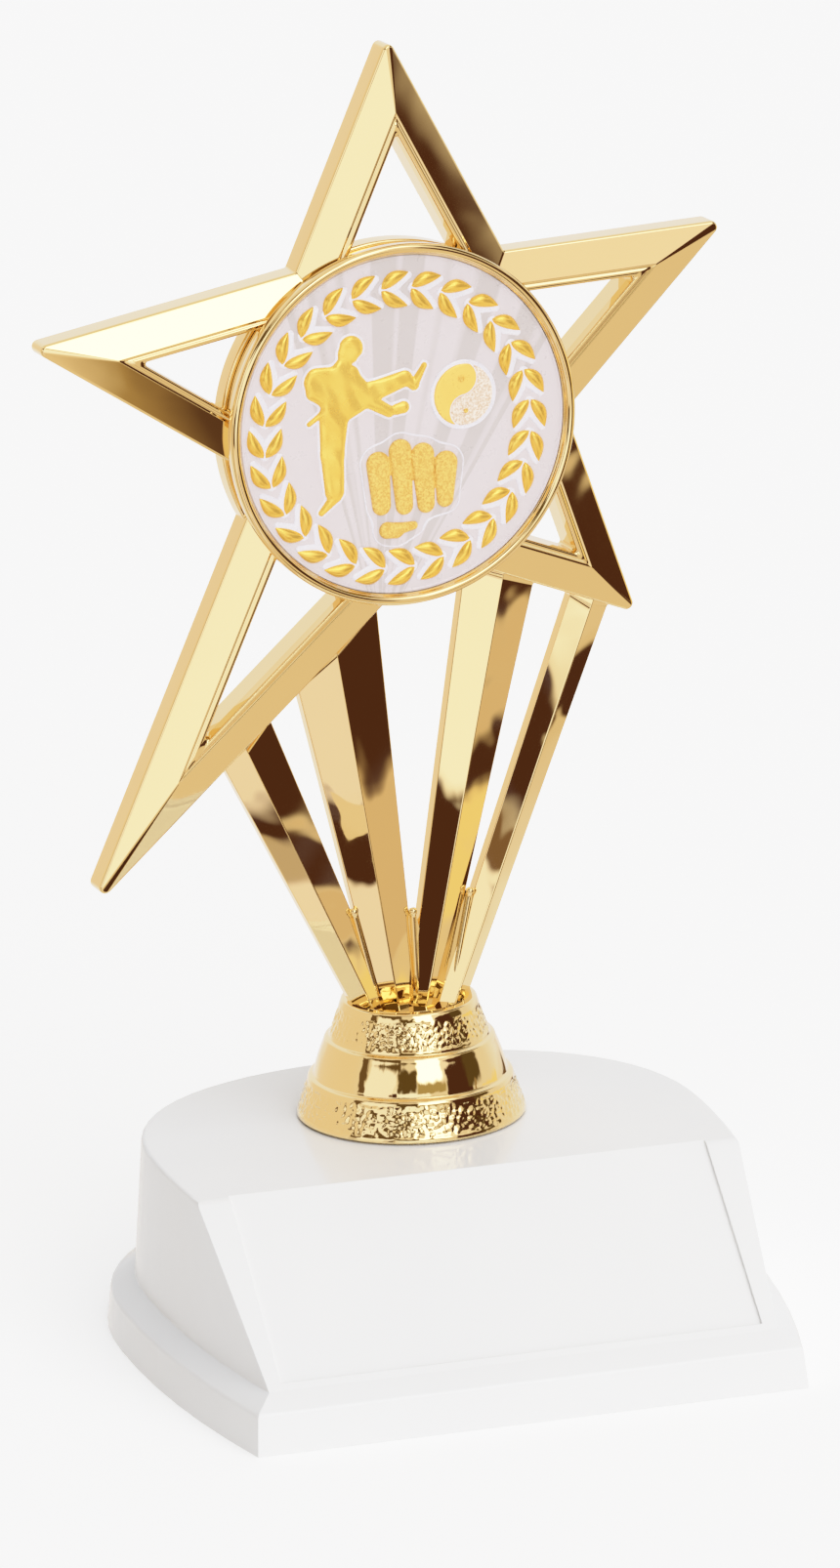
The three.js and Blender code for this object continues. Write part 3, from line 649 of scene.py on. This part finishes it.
def star_moulding():
    b = Builder()
    star_frame(b)
    ribs_from = len(b.faces)
    for left, ridge, right, start in RIBS:
        rib(b, left, ridge, right, start)
    ribs_to = len(b.faces)
    webs(b)
    hub(b)
    tenon(b)
    obj = piece(b.object("star_moulding", 55), "riser", "gold", gold_mirror, "star_riser")
    obj.data.materials.append(gold_rib)
    for face in range(ribs_from, ribs_to):
        obj.data.polygons[face].material_index = 1


star_moulding()


# ---- Holder cup and bezel ------------------------------------------------------------------------
def disc_turning(name, profile, segments=160):
    """A turned piece about the medallion's middle; a profile that closes on itself makes a ring."""
    b = Builder()
    rings = [on_riser(r, True) for r in turned(profile, segments)]
    if profile[0] == profile[-1]:
        b.loft(rings[:-1], loop_rings=True)
    else:
        b.loft(rings)
    return b.object(name, 60)


cup_profile = rounded([
    (2.0, 1.9, 0), (26.8, 1.9, 0.3), (26.8, 5.3, 0.2), (25.8, 5.3, 0.1), (25.8, 3.2, 0.1), (2.0, 3.2, 0)], 3)
piece(disc_turning("holder_cup_turned", cup_profile), "riser", "gold", gold_mirror, "holder_cup")


def bead_arc(radius, depth, size, start, stop, steps):
    """Points round a bead's section between two angles, in degrees from the disc's outward radius."""
    angles = [math.radians(start + (stop - start) * i / steps) for i in range(steps + 1)]
    return [(radius + size * math.cos(w), depth + size * math.sin(w)) for w in angles]


bezel_profile = [(26.05, 5.6), (27.6, 5.6), (27.78, 5.75)]
bezel_profile += bead_arc(27.02, 6.62, 0.77, 0, 168, 14)
bezel_profile += [(26.1, 6.62), (26.0, 6.5), (26.0, 5.7), (26.05, 5.6)]
piece(disc_turning("bezel_beads", bezel_profile, 192), "riser", "gold", gold_mirror, "bezel_ring")

# ---- Emblem --------------------------------------------------------------------------------------
SHIFT = (-0.3, -0.6)  # the emblem's drawing sits a little off the medallion's middle

ground_profile = rounded([
    (0.0001, 4.9, 0), (25.4, 4.9, 0.1), (25.4, 6.0, 0.1), (25.95, 6.1, 0.1), (25.95, 6.42, 0.12),
    (25.6, 6.44, 0.12), (25.45, 6.3, 0.1), (0.0001, 6.3, 0)], 3)
piece(disc_turning("emblem_ground", ground_profile), "riser", "emblem", pearl, "emblem_disc")


def limb(px, py, a, c):
    """Distance to a tapered limb between two (x, y, radius) ends; negative inside."""
    (ax, ay, ra), (cx, cy, rc) = a, c
    ux, uy = cx - ax, cy - ay
    t = np.clip(((px - ax) * ux + (py - ay) * uy) / max(ux * ux + uy * uy, 1e-9), 0, 1)
    return np.hypot(px - ax - t * ux, py - ay - t * uy) - (ra + (rc - ra) * t)


def soft_min(a, b, k):
    h = np.clip(0.5 + 0.5 * (b - a) / k, 0, 1)
    return b + (a - b) * h - k * h * (1 - h)


def limbs(px, py, parts, k):
    """Distance to several limbs, blended over k."""
    total = None
    for a, c in parts:
        d = limb(px, py, a, c)
        total = d if total is None else soft_min(total, d, k)
    return total


# Each part is a pair of (x, y, radius) ends, in mm.
FIGURE = [
    ((-8.2, 12.5, 1.75), (-7.8, 13.2, 2.0)), ((-8.9, 11.2, 1.2), (-9.8, 9.4, 1.8)),
    ((-13.5, 9.1, 1.75), (-8.0, 9.2, 1.5)), ((-11.9, 7.8, 2.6), (-9.6, 7.2, 2.8)),
    ((-10.4, 6.0, 2.6), (-10.6, 3.4, 2.3)), ((-14.1, 8.6, 1.4), (-14.0, 7.0, 1.15)),
    ((-14.0, 7.0, 1.1), (-12.4, 5.6, 0.95)), ((-8.0, 8.6, 1.6), (-6.0, 6.4, 1.4)),
    ((-6.0, 5.4, 1.2), (-1.9, 2.9, 0.95)), ((-0.7, 3.1, 0.9), (0.4, 3.3, 1.0)),
    ((-9.6, 4.2, 2.3), (-4.6, 6.1, 1.75)), ((-4.6, 6.2, 1.65), (0.7, 7.7, 1.3)),
    ((1.1, 7.4, 0.9), (2.2, 6.5, 0.8)), ((2.2, 6.6, 0.8), (3.9, 9.4, 0.5)),
    ((-10.8, 3.0, 2.4), (-11.2, -2.6, 1.95)), ((-11.2, -2.6, 1.95), (-11.0, -8.4, 1.6)),
    ((-10.9, -9.3, 0.95), (-13.2, -11.5, 0.55)), ((-12.4, 3.9, 0.5), (-14.8, 2.3, 0.42)),
]
FINGERS = [
    ((-3.9, -5.0, 1.9), (-3.5, -11.5, 1.5)), ((-0.3, -3.4, 1.85), (0.2, -11.9, 1.4)),
    ((3.3, -4.4, 1.9), (3.7, -12.0, 1.4)), ((7.0, -6.1, 1.95), (6.8, -11.5, 1.35)),
]
THUMB = [((-2.7, -15.4, 1.3), (-1.2, -15.6, 1.2)), ((-1.2, -15.4, 1.0), (1.6, -15.1, 0.65))]
SYMBOL_AT, SYMBOL_R, SYMBOL_TILT = (10.1, 4.2), 5.1, math.radians(-8)


def figure_sdf(x, y):
    return limbs(x, y, FIGURE, 0.35)


def fist_sdf(x, y):
    return np.minimum(limbs(x, y, FINGERS, 0.05), limbs(x, y, THUMB, 0.3))


def patch_sdf(x, y):
    return np.abs(limbs(x, y, FINGERS + THUMB, 2.0) - 0.95) - 0.16


def symbol_ring_sdf(x, y):
    u, v = symbol_local(x, y)
    return np.abs(np.hypot(u, v) - SYMBOL_R - 0.05) - 0.22


def symbol_local(x, y):
    c, s = math.cos(SYMBOL_TILT), math.sin(SYMBOL_TILT)
    x, y = x - SYMBOL_AT[0], y - SYMBOL_AT[1]
    return x * c - y * s, -x * s - y * c


def lobe_sdf(x, y, side):
    """One of the symbol's two lobes: the left one for a negative side, the right one otherwise."""
    u, v = symbol_local(x, y)
    half = SYMBOL_R / 2
    whole = np.hypot(u, v) - (SYMBOL_R - 0.35)
    left = np.maximum(whole, u)
    big = np.maximum(np.minimum(left, np.hypot(u, v + half) - half), -(np.hypot(u, v - half) - half))
    if side < 0:
        return np.maximum(big, whole)
    return np.maximum(whole, -big + 0.12)


def stud_sdf(x, y):
    u, v = symbol_local(x, y)
    return np.minimum(np.hypot(u, v + SYMBOL_R / 2) - 0.6, np.hypot(u, v - SYMBOL_R / 2) - 0.4)


WREATH_PAIRS, WREATH_START = 28, 0.35
WREATH_RADIUS, WREATH_CENTRE = 21.5, (-0.55, 0.1)
LEAF_LEAN = 0.13


def wreath_pairs():
    """The heading and the root of each pair of leaves."""
    for i in range(WREATH_PAIRS):
        angle = 2 * math.pi * (i + WREATH_START) / WREATH_PAIRS
        x = WREATH_CENTRE[0] + WREATH_RADIUS * math.cos(angle)
        y = WREATH_CENTRE[1] + WREATH_RADIUS * math.sin(angle)
        yield angle - math.pi / 2 - LEAF_LEAN, (x, y)


def leaf_parts():
    """The leaves as limbs, for the pale border round them."""
    parts = []
    for heading, root in wreath_pairs():
        for side in (-1, 1):
            w = heading + side * 0.52
            bent = w - side * 0.03
            mid = (root[0] + 2.2 * math.cos(w), root[1] + 2.2 * math.sin(w))
            end = (root[0] + 4.4 * math.cos(bent), root[1] + 4.4 * math.sin(bent))
            parts.append(((root[0], root[1], 0.6), (mid[0], mid[1], 0.8)))
            parts.append(((mid[0], mid[1], 0.8), (end[0], end[1], 0.25)))
    return parts


LEAVES = leaf_parts()


def halo_sdf(x, y):
    total = np.minimum(figure_sdf(x, y) - 0.35, limbs(x, y, LEAVES, 0.01) - 0.38)
    u, v = symbol_local(x, y)
    return np.minimum(total, np.hypot(u, v) - SYMBOL_R - 0.25)


SNAP = 0.72          # grid points this many cells from the outline are pulled onto it
SKIRT_DEPTH = 0.25


def relief(name, sdf, low, high, cell, base, height, round_width, material, wobble=None):
    """A raised shape on the disc's face: the grid inside the outline, with its edge pulled onto it."""
    xs = np.arange(low[0], high[0] + cell, cell)
    ys = np.arange(low[1], high[1] + cell, cell)
    gx, gy = np.meshgrid(xs, ys, indexing="ij")
    s = sdf(gx, gy)
    eps = cell * 0.25
    dx = (sdf(gx + eps, gy) - sdf(gx - eps, gy)) / (2 * eps)
    dy = (sdf(gx, gy + eps) - sdf(gx, gy - eps)) / (2 * eps)
    size = np.maximum(np.hypot(dx, dy), 0.3)
    edge = np.abs(s) < cell * SNAP
    px = np.where(edge, gx - dx / size ** 2 * s, gx)
    py = np.where(edge, gy - dy / size ** 2 * s, gy)
    inner = (s < 0) | edge
    keep = inner[:-1, :-1] & inner[1:, :-1] & inner[1:, 1:] & inner[:-1, 1:]
    depth = np.where(edge, 0.0, np.clip(-s / round_width, 0, 1))
    z = base + height * np.sqrt(1 - (1 - depth) ** 2)
    if wobble:
        z = z + wobble(px, py) * np.clip(depth * 2, 0, 1)
    index = -np.ones(gx.shape, int)
    verts, faces = [], []
    for i, j in np.argwhere(keep):
        quad = []
        for a, c in ((i, j), (i + 1, j), (i + 1, j + 1), (i, j + 1)):
            if index[a, c] < 0:
                index[a, c] = len(verts)
                verts.append((px[a, c] + SHIFT[0], py[a, c] + SHIFT[1], z[a, c]))
            quad.append(index[a, c])
        faces.append(quad)
    sides = dict.fromkeys((f[k], f[(k + 1) % 4]) for f in faces for k in range(4))
    rim = [(a, c) for a, c in sides if (c, a) not in sides]
    skirt = {}
    for a, c in rim:
        for v in (a, c):
            if v not in skirt:
                skirt[v] = len(verts)
                verts.append((verts[v][0], verts[v][1], base - SKIRT_DEPTH))
        faces.append([c, a, skirt[a], skirt[c]])
    mesh_verts = on_riser(np.array(verts), True)
    mesh = bpy.data.meshes.new(name)
    mesh.from_pydata([tuple(v) for v in mesh_verts], [], [tuple(int(q) for q in f) for f in faces])
    obj = finish_object(name, mesh, 65, False)
    piece(obj, "riser", "emblem", material)


def noise_field(x, y, place, height):
    flat = np.array([noise.noise(Vector(place(a, c))) for a, c in zip(x.ravel(), y.ravel())])
    return height * flat.reshape(x.shape)


def folds(x, y):
    return noise_field(x, y, lambda a, c: (a * 0.45 + c * 0.2, c * 0.3, 2.0), 0.22)


def pebbles(x, y):
    return noise_field(x, y, lambda a, c: (a * 2.6, c * 2.6, 0.0), 0.07)


LOBES_LOW, LOBES_HIGH = (4, -1.5), (16, 10.5)
# Each relief: name, shape, grid corners, cell, base, height, width of its rounded edge, look, wobble.
relief("relief_halo", halo_sdf, (-25.2, -25.2), (25.2, 25.2), 0.2, 6.27, 0.14, 0.25, pearl_edge)
relief("fist_outline", patch_sdf, (-9, -19), (11, 1.5), 0.1, 6.27, 0.14, 0.16, pearl_edge)
relief("symbol_ring", symbol_ring_sdf, (3.5, -2.5), (17, 11), 0.1, 6.27, 0.2, 0.2, pearl_edge)
relief("kicking_figure", figure_sdf, (-17.5, -14), (6, 17), 0.12, 6.3, 0.62, 1.05, gold_foil, folds)
relief("fist_fingers", fist_sdf, (-7, -18.5), (10, -1), 0.12, 6.38, 0.42, 0.8, gold_stipple, pebbles)
relief("symbol_smooth_lobe", lambda x, y: lobe_sdf(x, y, -1),
       LOBES_LOW, LOBES_HIGH, 0.1, 6.38, 0.25, 0.35, gold_flat)
relief("symbol_pale_lobe", lambda x, y: lobe_sdf(x, y, 1),
       LOBES_LOW, LOBES_HIGH, 0.1, 6.38, 0.12, 0.2, pale_glitter, pebbles)
relief("symbol_studs", stud_sdf, LOBES_LOW, LOBES_HIGH, 0.1, 6.45, 0.4, 0.45, gold_stipple)

LEAF_LENGTH, LEAF_HALF_WIDTH, LEAF_RISE, LEAF_GAP = 4.9, 1.02, 0.6, 0.38
LEAF_SPREAD = 0.47
LEAF_BASE, LEAF_LIFT, LEAF_UNDER = 6.3, 0.09, 6.2


def wreath():
    """Pairs of pointed leaves round the disc, each a crowned grid with a skirt down to the ground."""
    b = Builder()
    us, vs = np.linspace(0, 1, 15), np.linspace(-1, 1, 11)
    m, n = len(us), len(vs)
    faces = [(i * n + j, (i + 1) * n + j, (i + 1) * n + j + 1, i * n + j + 1)
             for i in range(m - 1) for j in range(n - 1)]
    edge = list(range(n)) + [i * n + n - 1 for i in range(1, m)]
    edge += [(m - 1) * n + j for j in range(n - 2, -1, -1)] + [i * n for i in range(m - 2, 0, -1)]
    for k in range(len(edge)):
        after = (k + 1) % len(edge)
        faces.append((edge[k], edge[after], m * n + after, m * n + k))
    for heading, root in wreath_pairs():
        for side in (-1, 1):
            w = heading + side * LEAF_SPREAD
            verts = []
            for u in us:
                half = LEAF_HALF_WIDTH * max(0.03, math.sin(math.pi * u ** 0.85)) ** 0.8
                bend = side * (LEAF_GAP + 0.42 * math.sin(math.pi * u) + 0.15 * u)
                for v in vs:
                    a, c = LEAF_LENGTH * u - 0.3, bend + v * half
                    x = root[0] + a * math.cos(w) - c * math.sin(w)
                    y = root[1] + a * math.sin(w) + c * math.cos(w)
                    crown = (1 - abs(v) ** 2.2) * half / LEAF_HALF_WIDTH
                    verts.append((x + SHIFT[0], y + SHIFT[1], LEAF_BASE + LEAF_RISE * crown + LEAF_LIFT))
            verts += [(verts[e][0], verts[e][1], LEAF_UNDER) for e in edge]
            b.add(on_riser(verts, True), faces)
    return b.object("wreath_leaves", 65, False)


piece(wreath(), "riser", "emblem", gold_leaf)


# ---- Stage, light and camera ---------------------------------------------------------------------
def plane(name, x0, x1, y0, y1, z, cells=12):
    row = cells + 1
    verts = [(x0 + (x1 - x0) * i / cells, y0 + (y1 - y0) * j / cells, z)
             for j in range(row) for i in range(row)]
    faces = [(j * row + i, j * row + i + 1, (j + 1) * row + i + 1, (j + 1) * row + i)
             for j in range(cells) for i in range(cells)]
    mesh = bpy.data.meshes.new(name)
    mesh.from_pydata(verts, [], faces)
    obj = bpy.data.objects.new(name, mesh)
    bpy.context.scene.collection.objects.link(obj)
    return obj


def floor_material():
    mat, nodes, links, shader, coords = new_material("pale_floor")
    tint = add_noise(nodes, links, coords, 4, 2)
    colours = add_ramp(nodes, links, tint.outputs["Fac"], [(0.2, grey(0.90)), (0.8, grey(0.91))])
    links.new(colours.outputs["Color"], shader.inputs["Base Color"])
    shader.inputs["Roughness"].default_value = 0.9
    shader.inputs["Specular IOR Level"].default_value = 0.0
    shader.inputs["Emission Color"].default_value = (1, 1, 1, 1)
    shader.inputs["Emission Strength"].default_value = 0.36
    return mat


def soft_sun():
    """A broad overhead light for the white plastic; the gold never mirrors it."""
    data = bpy.data.lights.new("overhead", "SUN")
    data.energy = 1.02
    data.angle = math.radians(60)
    obj = bpy.data.objects.new("overhead", data)
    a, e = math.radians(22), math.radians(66)
    towards = Vector((math.sin(a) * math.cos(e), -math.cos(a) * math.cos(e), math.sin(e)))
    obj.rotation_euler = towards.to_track_quat("Z", "Y").to_euler()
    obj.visible_glossy = False
    bpy.context.scene.collection.objects.link(obj)


soft_sun()
FLOOR_REACH = 8  # metres
floor = plane("floor", -FLOOR_REACH, FLOOR_REACH, -FLOOR_REACH, FLOOR_REACH, 0.0)
floor.data.materials.append(floor_material())
floor.visible_glossy = False


def table_mat():
    """Beige on the left, darkening to the right, as a table seen in the gold."""
    mat = bpy.data.materials.new("reflection_mat")
    mat.use_nodes = True
    nodes, links = mat.node_tree.nodes, mat.node_tree.links
    nodes.clear()
    coords = nodes.new("ShaderNodeTexCoord")
    split = nodes.new("ShaderNodeSeparateXYZ")
    links.new(coords.outputs["Generated"], split.inputs[0])
    ripple = add_noise(nodes, links, coords, 30, 3)
    shift = nodes.new("ShaderNodeMath")
    shift.operation = "MULTIPLY_ADD"
    links.new(ripple.outputs["Fac"], shift.inputs[0])
    shift.inputs[1].default_value = 0.16
    links.new(split.outputs["X"], shift.inputs[2])
    stops = [
        (0.18, (1.0, 0.82, 0.6)), (0.34, (0.4, 0.27, 0.13)), (0.47, (0.1, 0.05, 0.03)),
        (0.7, (0.06, 0.024, 0.014))]
    ramp = add_ramp(nodes, links, shift.outputs[0], stops)
    glow = nodes.new("ShaderNodeEmission")
    links.new(ramp.outputs["Color"], glow.inputs["Color"])
    out = nodes.new("ShaderNodeOutputMaterial")
    links.new(glow.outputs[0], out.inputs["Surface"])
    return mat


# A mat just under the floor that only mirror reflections see, as a product table seen in the gold.
card = plane("reflection_mat", AXIS_X - 0.055, AXIS_X + 0.052, AXIS_Y - 0.190, AXIS_Y - 0.112, -0.0005)
card.data.materials.append(table_mat())
card.visible_camera = False
card.visible_diffuse = False
card.visible_shadow = False
card.visible_transmission = False


def studio_world():
    """Painted panels: one set for mirror rays, one for diffuse rays, and plain pale for the camera."""
    world = bpy.data.worlds.new("studio")
    bpy.context.scene.world = world
    world.use_nodes = True
    nodes, links = world.node_tree.nodes, world.node_tree.links
    nodes.clear()
    coords = nodes.new("ShaderNodeTexCoord")
    split = nodes.new("ShaderNodeSeparateXYZ")
    links.new(coords.outputs["Generated"], split.inputs[0])
    maths = maths_in(nodes, links)
    ripple = nodes.new("ShaderNodeTexNoise")
    ripple.inputs["Scale"].default_value = 8.0
    ripple.inputs["Detail"].default_value = 2.0
    links.new(coords.outputs["Generated"], ripple.inputs["Vector"])
    sway = maths("MULTIPLY", maths("SUBTRACT", ripple.outputs["Fac"], 0.5), 0.17)
    forwards = maths("MULTIPLY", split.outputs["Y"], -1.0)
    azimuth = maths("ADD", maths("ARCTAN2", split.outputs["X"], forwards), sway)
    elevation = maths("ADD", maths("ARCSINE", split.outputs["Z"]), maths("MULTIPLY", sway, 0.7))

    def soft_box(centre, half, soft, skew):
        masks = []
        for angle, mid, reach in ((azimuth, centre[0], half[0]), (elevation, centre[1], half[1])):
            off = maths("SUBTRACT", angle, math.radians(mid))
            if angle is azimuth:
                if skew:
                    rise = maths("SUBTRACT", elevation, math.radians(centre[1]))
                    off = maths("SUBTRACT", off, maths("MULTIPLY", rise, skew))
                off = maths("WRAP", off, math.pi)
                off.node.inputs[2].default_value = -math.pi
            gap = maths("ABSOLUTE", off)
            step = nodes.new("ShaderNodeMapRange")
            step.interpolation_type = "SMOOTHSTEP"
            step.inputs["From Min"].default_value = math.radians(reach + soft)
            step.inputs["From Max"].default_value = math.radians(max(reach - soft, 0.0))
            links.new(gap, step.inputs["Value"])
            masks.append(step.outputs["Result"])
        return maths("MULTIPLY", masks[0], masks[1])

    def painted(tent, boxes):
        base = nodes.new("ShaderNodeRGB")
        base.outputs[0].default_value = (*tent, 1)
        colour = base.outputs[0]
        for centre, half, soft, skew, value in boxes:
            mix = nodes.new("ShaderNodeMix")
            mix.data_type = "RGBA"
            links.new(soft_box(centre, half, soft, skew), mix.inputs["Factor"])
            links.new(colour, mix.inputs["A"])
            mix.inputs["B"].default_value = (*value, 1)
            colour = mix.outputs["Result"]
        back = nodes.new("ShaderNodeBackground")
        links.new(colour, back.inputs["Color"])
        return back.outputs[0]

    dark, brown, tan = (0.07, 0.027, 0.016), (0.2, 0.12, 0.07), (0.8, 0.6, 0.4)
    # Each box: centre and half size in degrees of azimuth and elevation, softness, lean, colour.
    # A later box is painted over the ones before it.
    mirrored = painted((1.0, 0.88, 0.74), [
        ((180, 22), (75, 40), 16, 0, (1.06, 1.05, 1.06)),  # pale back wall
        ((0, -60), (180, 55), 3, 0, (0.91, 0.74, 0.54)),  # below the horizon, past the table
        ((180, -28), (80, 22), 6, 0, (1.08, 1.02, 0.96)),  # pale ground behind
        ((-122, 8), (36, 24), 8, 0, (1.02, 0.84, 0.64)),  # warm wall on the left
        ((-22, -30), (24, 15), 3, 0, (1.12, 1.0, 1.0)),  # pale table in front
        ((-30.5, -41.5), (2.2, 4.5), 0.7, 0.4, (0.6, 0.48, 0.38)),  # three things standing on the table
        ((-17.5, -26), (4, 5.5), 0.7, 0.3, dark),
        ((-26.6, -39.5), (1.5, 3.5), 0.7, 0, dark),
        ((-8, 0), (19, 13), 3, -0.7, (1.45, 1.45, 1.5)),  # front box, behind the camera
        ((-37.5, -8), (16, 6), 0.8, 0, dark),  # the front box's left stand
        ((-35.6, 4.5), (3, 7), 0.8, 0, dark),
        ((-54, 13), (18, 10), 1.5, 0.4, (1.35, 1.28, 1.3)),  # left panel
        ((-52, 31), (23, 8), 1, 0, (0.12, 0.075, 0.03)),  # dark above the left panel
        ((-41, 5.5), (2.0, 3), 0.8, 0.6, brown),
        ((-77.5, 14), (4.5, 10), 1, 0, (0.14, 0.085, 0.04)),  # the left panel's dark edge
        ((-81, -27), (5, 22), 1, 0, (0.14, 0.085, 0.04)),  # and the dark stand below it
        ((-21, 17.5), (11, 6), 1.5, 0, (0.11, 0.07, 0.025)),  # gap between panel and key box
        ((9, 14), (18, 4.5), 1.5, 0, (0.46, 0.35, 0.17)),  # shelf under the key box
        ((30, 24), (8, 9), 2, 0, (1.24, 1.08, 1.0)),  # fill beside the key box
        ((8, 26), (16.5, 9), 1.5, 0, (3.4, 3.4, 3.4)),  # key box
        ((26, 47), (18, 8), 3, 0, (3.2, 3.2, 3.2)),  # second box, high on the right
        ((-26, 46), (16, 6), 2, 0, brown),
        ((88, -13), (17, 12.5), 1.5, 0, (1.2, 0.9, 0.4)),  # warm wall on the right
        ((45, -1), (16.5, 22), 1, 0, dark),  # dark wing
        ((66, 13), (11, 8), 2, 0, (0.1, 0.065, 0.025)),
        ((65.2, 3.2), (1.7, 4), 0.8, 0.3, (0.34, 0.23, 0.12)),
        ((63.5, -13), (6, 4.2), 0.7, 0.4, tan),  # streaks in the dark wing, from here down
        ((63.5, -7), (7, 3.4), 0.7, 0, dark),
        ((66.5, -1.9), (4.5, 1.5), 0.7, 0, tan),
        ((58, -21.5), (6.3, 4), 0.7, 0, dark),
        ((66.3, -21.5), (2, 4), 0.7, 0, tan),
        ((69.8, -22.5), (1.5, 4), 0.7, 0, dark),
        ((90.3, -28), (2.8, 4), 0.7, 0, dark),
        ((128, -28), (8, 20), 1.5, 0, (0.16, 0.09, 0.045)),  # dark edge, far right
        ((80, 42), (26, 12), 3, 0, (0.1, 0.06, 0.022)),  # dark wing, upper right
    ])
    spread = painted((0.98, 0.98, 0.98), [
        ((-95, 10), (62, 50), 14, 0, (0.08, 0.08, 0.085)),
        ((14, 18), (32, 26), 8, 0, (2.25, 2.25, 2.25)),
        ((76, 5), (22, 28), 8, 0, (0.6, 0.6, 0.6)),
    ])
    pale = nodes.new("ShaderNodeBackground")
    pale.inputs["Color"].default_value = (1.3, 1.3, 1.3, 1)
    path = nodes.new("ShaderNodeLightPath")
    lit = nodes.new("ShaderNodeMixShader")
    links.new(path.outputs["Is Diffuse Ray"], lit.inputs[0])
    links.new(mirrored, lit.inputs[1])
    links.new(spread, lit.inputs[2])
    choose = nodes.new("ShaderNodeMixShader")
    links.new(path.outputs["Is Camera Ray"], choose.inputs[0])
    links.new(lit.outputs[0], choose.inputs[1])
    links.new(pale.outputs[0], choose.inputs[2])
    out = nodes.new("ShaderNodeOutputWorld")
    links.new(choose.outputs[0], out.inputs["Surface"])


studio_world()


CAMERA_AZIMUTH, CAMERA_ELEVATION, CAMERA_ROLL = -16.26, 15.91, -1.44  # degrees
CAMERA_DISTANCE = 1300.0
AIM_SIDE, AIM_HEIGHT = 2.68, 81.82
FRAMED_HEIGHT = 239.34  # mm of the scene that the picture's height takes in at the stem axis


def camera():
    a, e, roll = (math.radians(v) for v in (CAMERA_AZIMUTH, CAMERA_ELEVATION, CAMERA_ROLL))
    right = Vector((math.cos(a), math.sin(a), 0))
    back = Vector((math.sin(a) * math.cos(e), -math.cos(a) * math.cos(e), math.sin(e)))
    up = back.cross(right)
    turned_right = right * math.cos(roll) + up * math.sin(roll)
    turned_up = up * math.cos(roll) - right * math.sin(roll)
    target = Vector((AXIS_X + AIM_SIDE * MM, AXIS_Y, AIM_HEIGHT * MM))
    data = bpy.data.cameras.new("camera")
    data.sensor_fit = "VERTICAL"
    data.sensor_height = 36.0
    data.lens = data.sensor_height * CAMERA_DISTANCE / FRAMED_HEIGHT
    data.clip_start, data.clip_end = 0.05, 50.0
    obj = bpy.data.objects.new("camera", data)
    basis = Matrix((turned_right, turned_up, back)).transposed().to_4x4()
    obj.matrix_world = Matrix.Translation(target + back * CAMERA_DISTANCE * MM) @ basis
    bpy.context.scene.collection.objects.link(obj)
    bpy.context.scene.camera = obj


camera()

# Soft shoulder: highlights up to the white level are rolled off instead of clipped.
WHITE_LEVEL = 2.4
SHOULDER = ((0.208, 0.5), (0.375, 0.775), (0.479, 0.871), (0.667, 0.956))
view = bpy.context.scene.view_settings
view.view_transform = "Standard"
view.look = "None"
view.use_curve_mapping = True
curves = view.curve_mapping
curves.white_level = (WHITE_LEVEL, WHITE_LEVEL, WHITE_LEVEL)
shoulder = curves.curves[3]
for x, y in SHOULDER:
    shoulder.points.new(x, y)
curves.update()
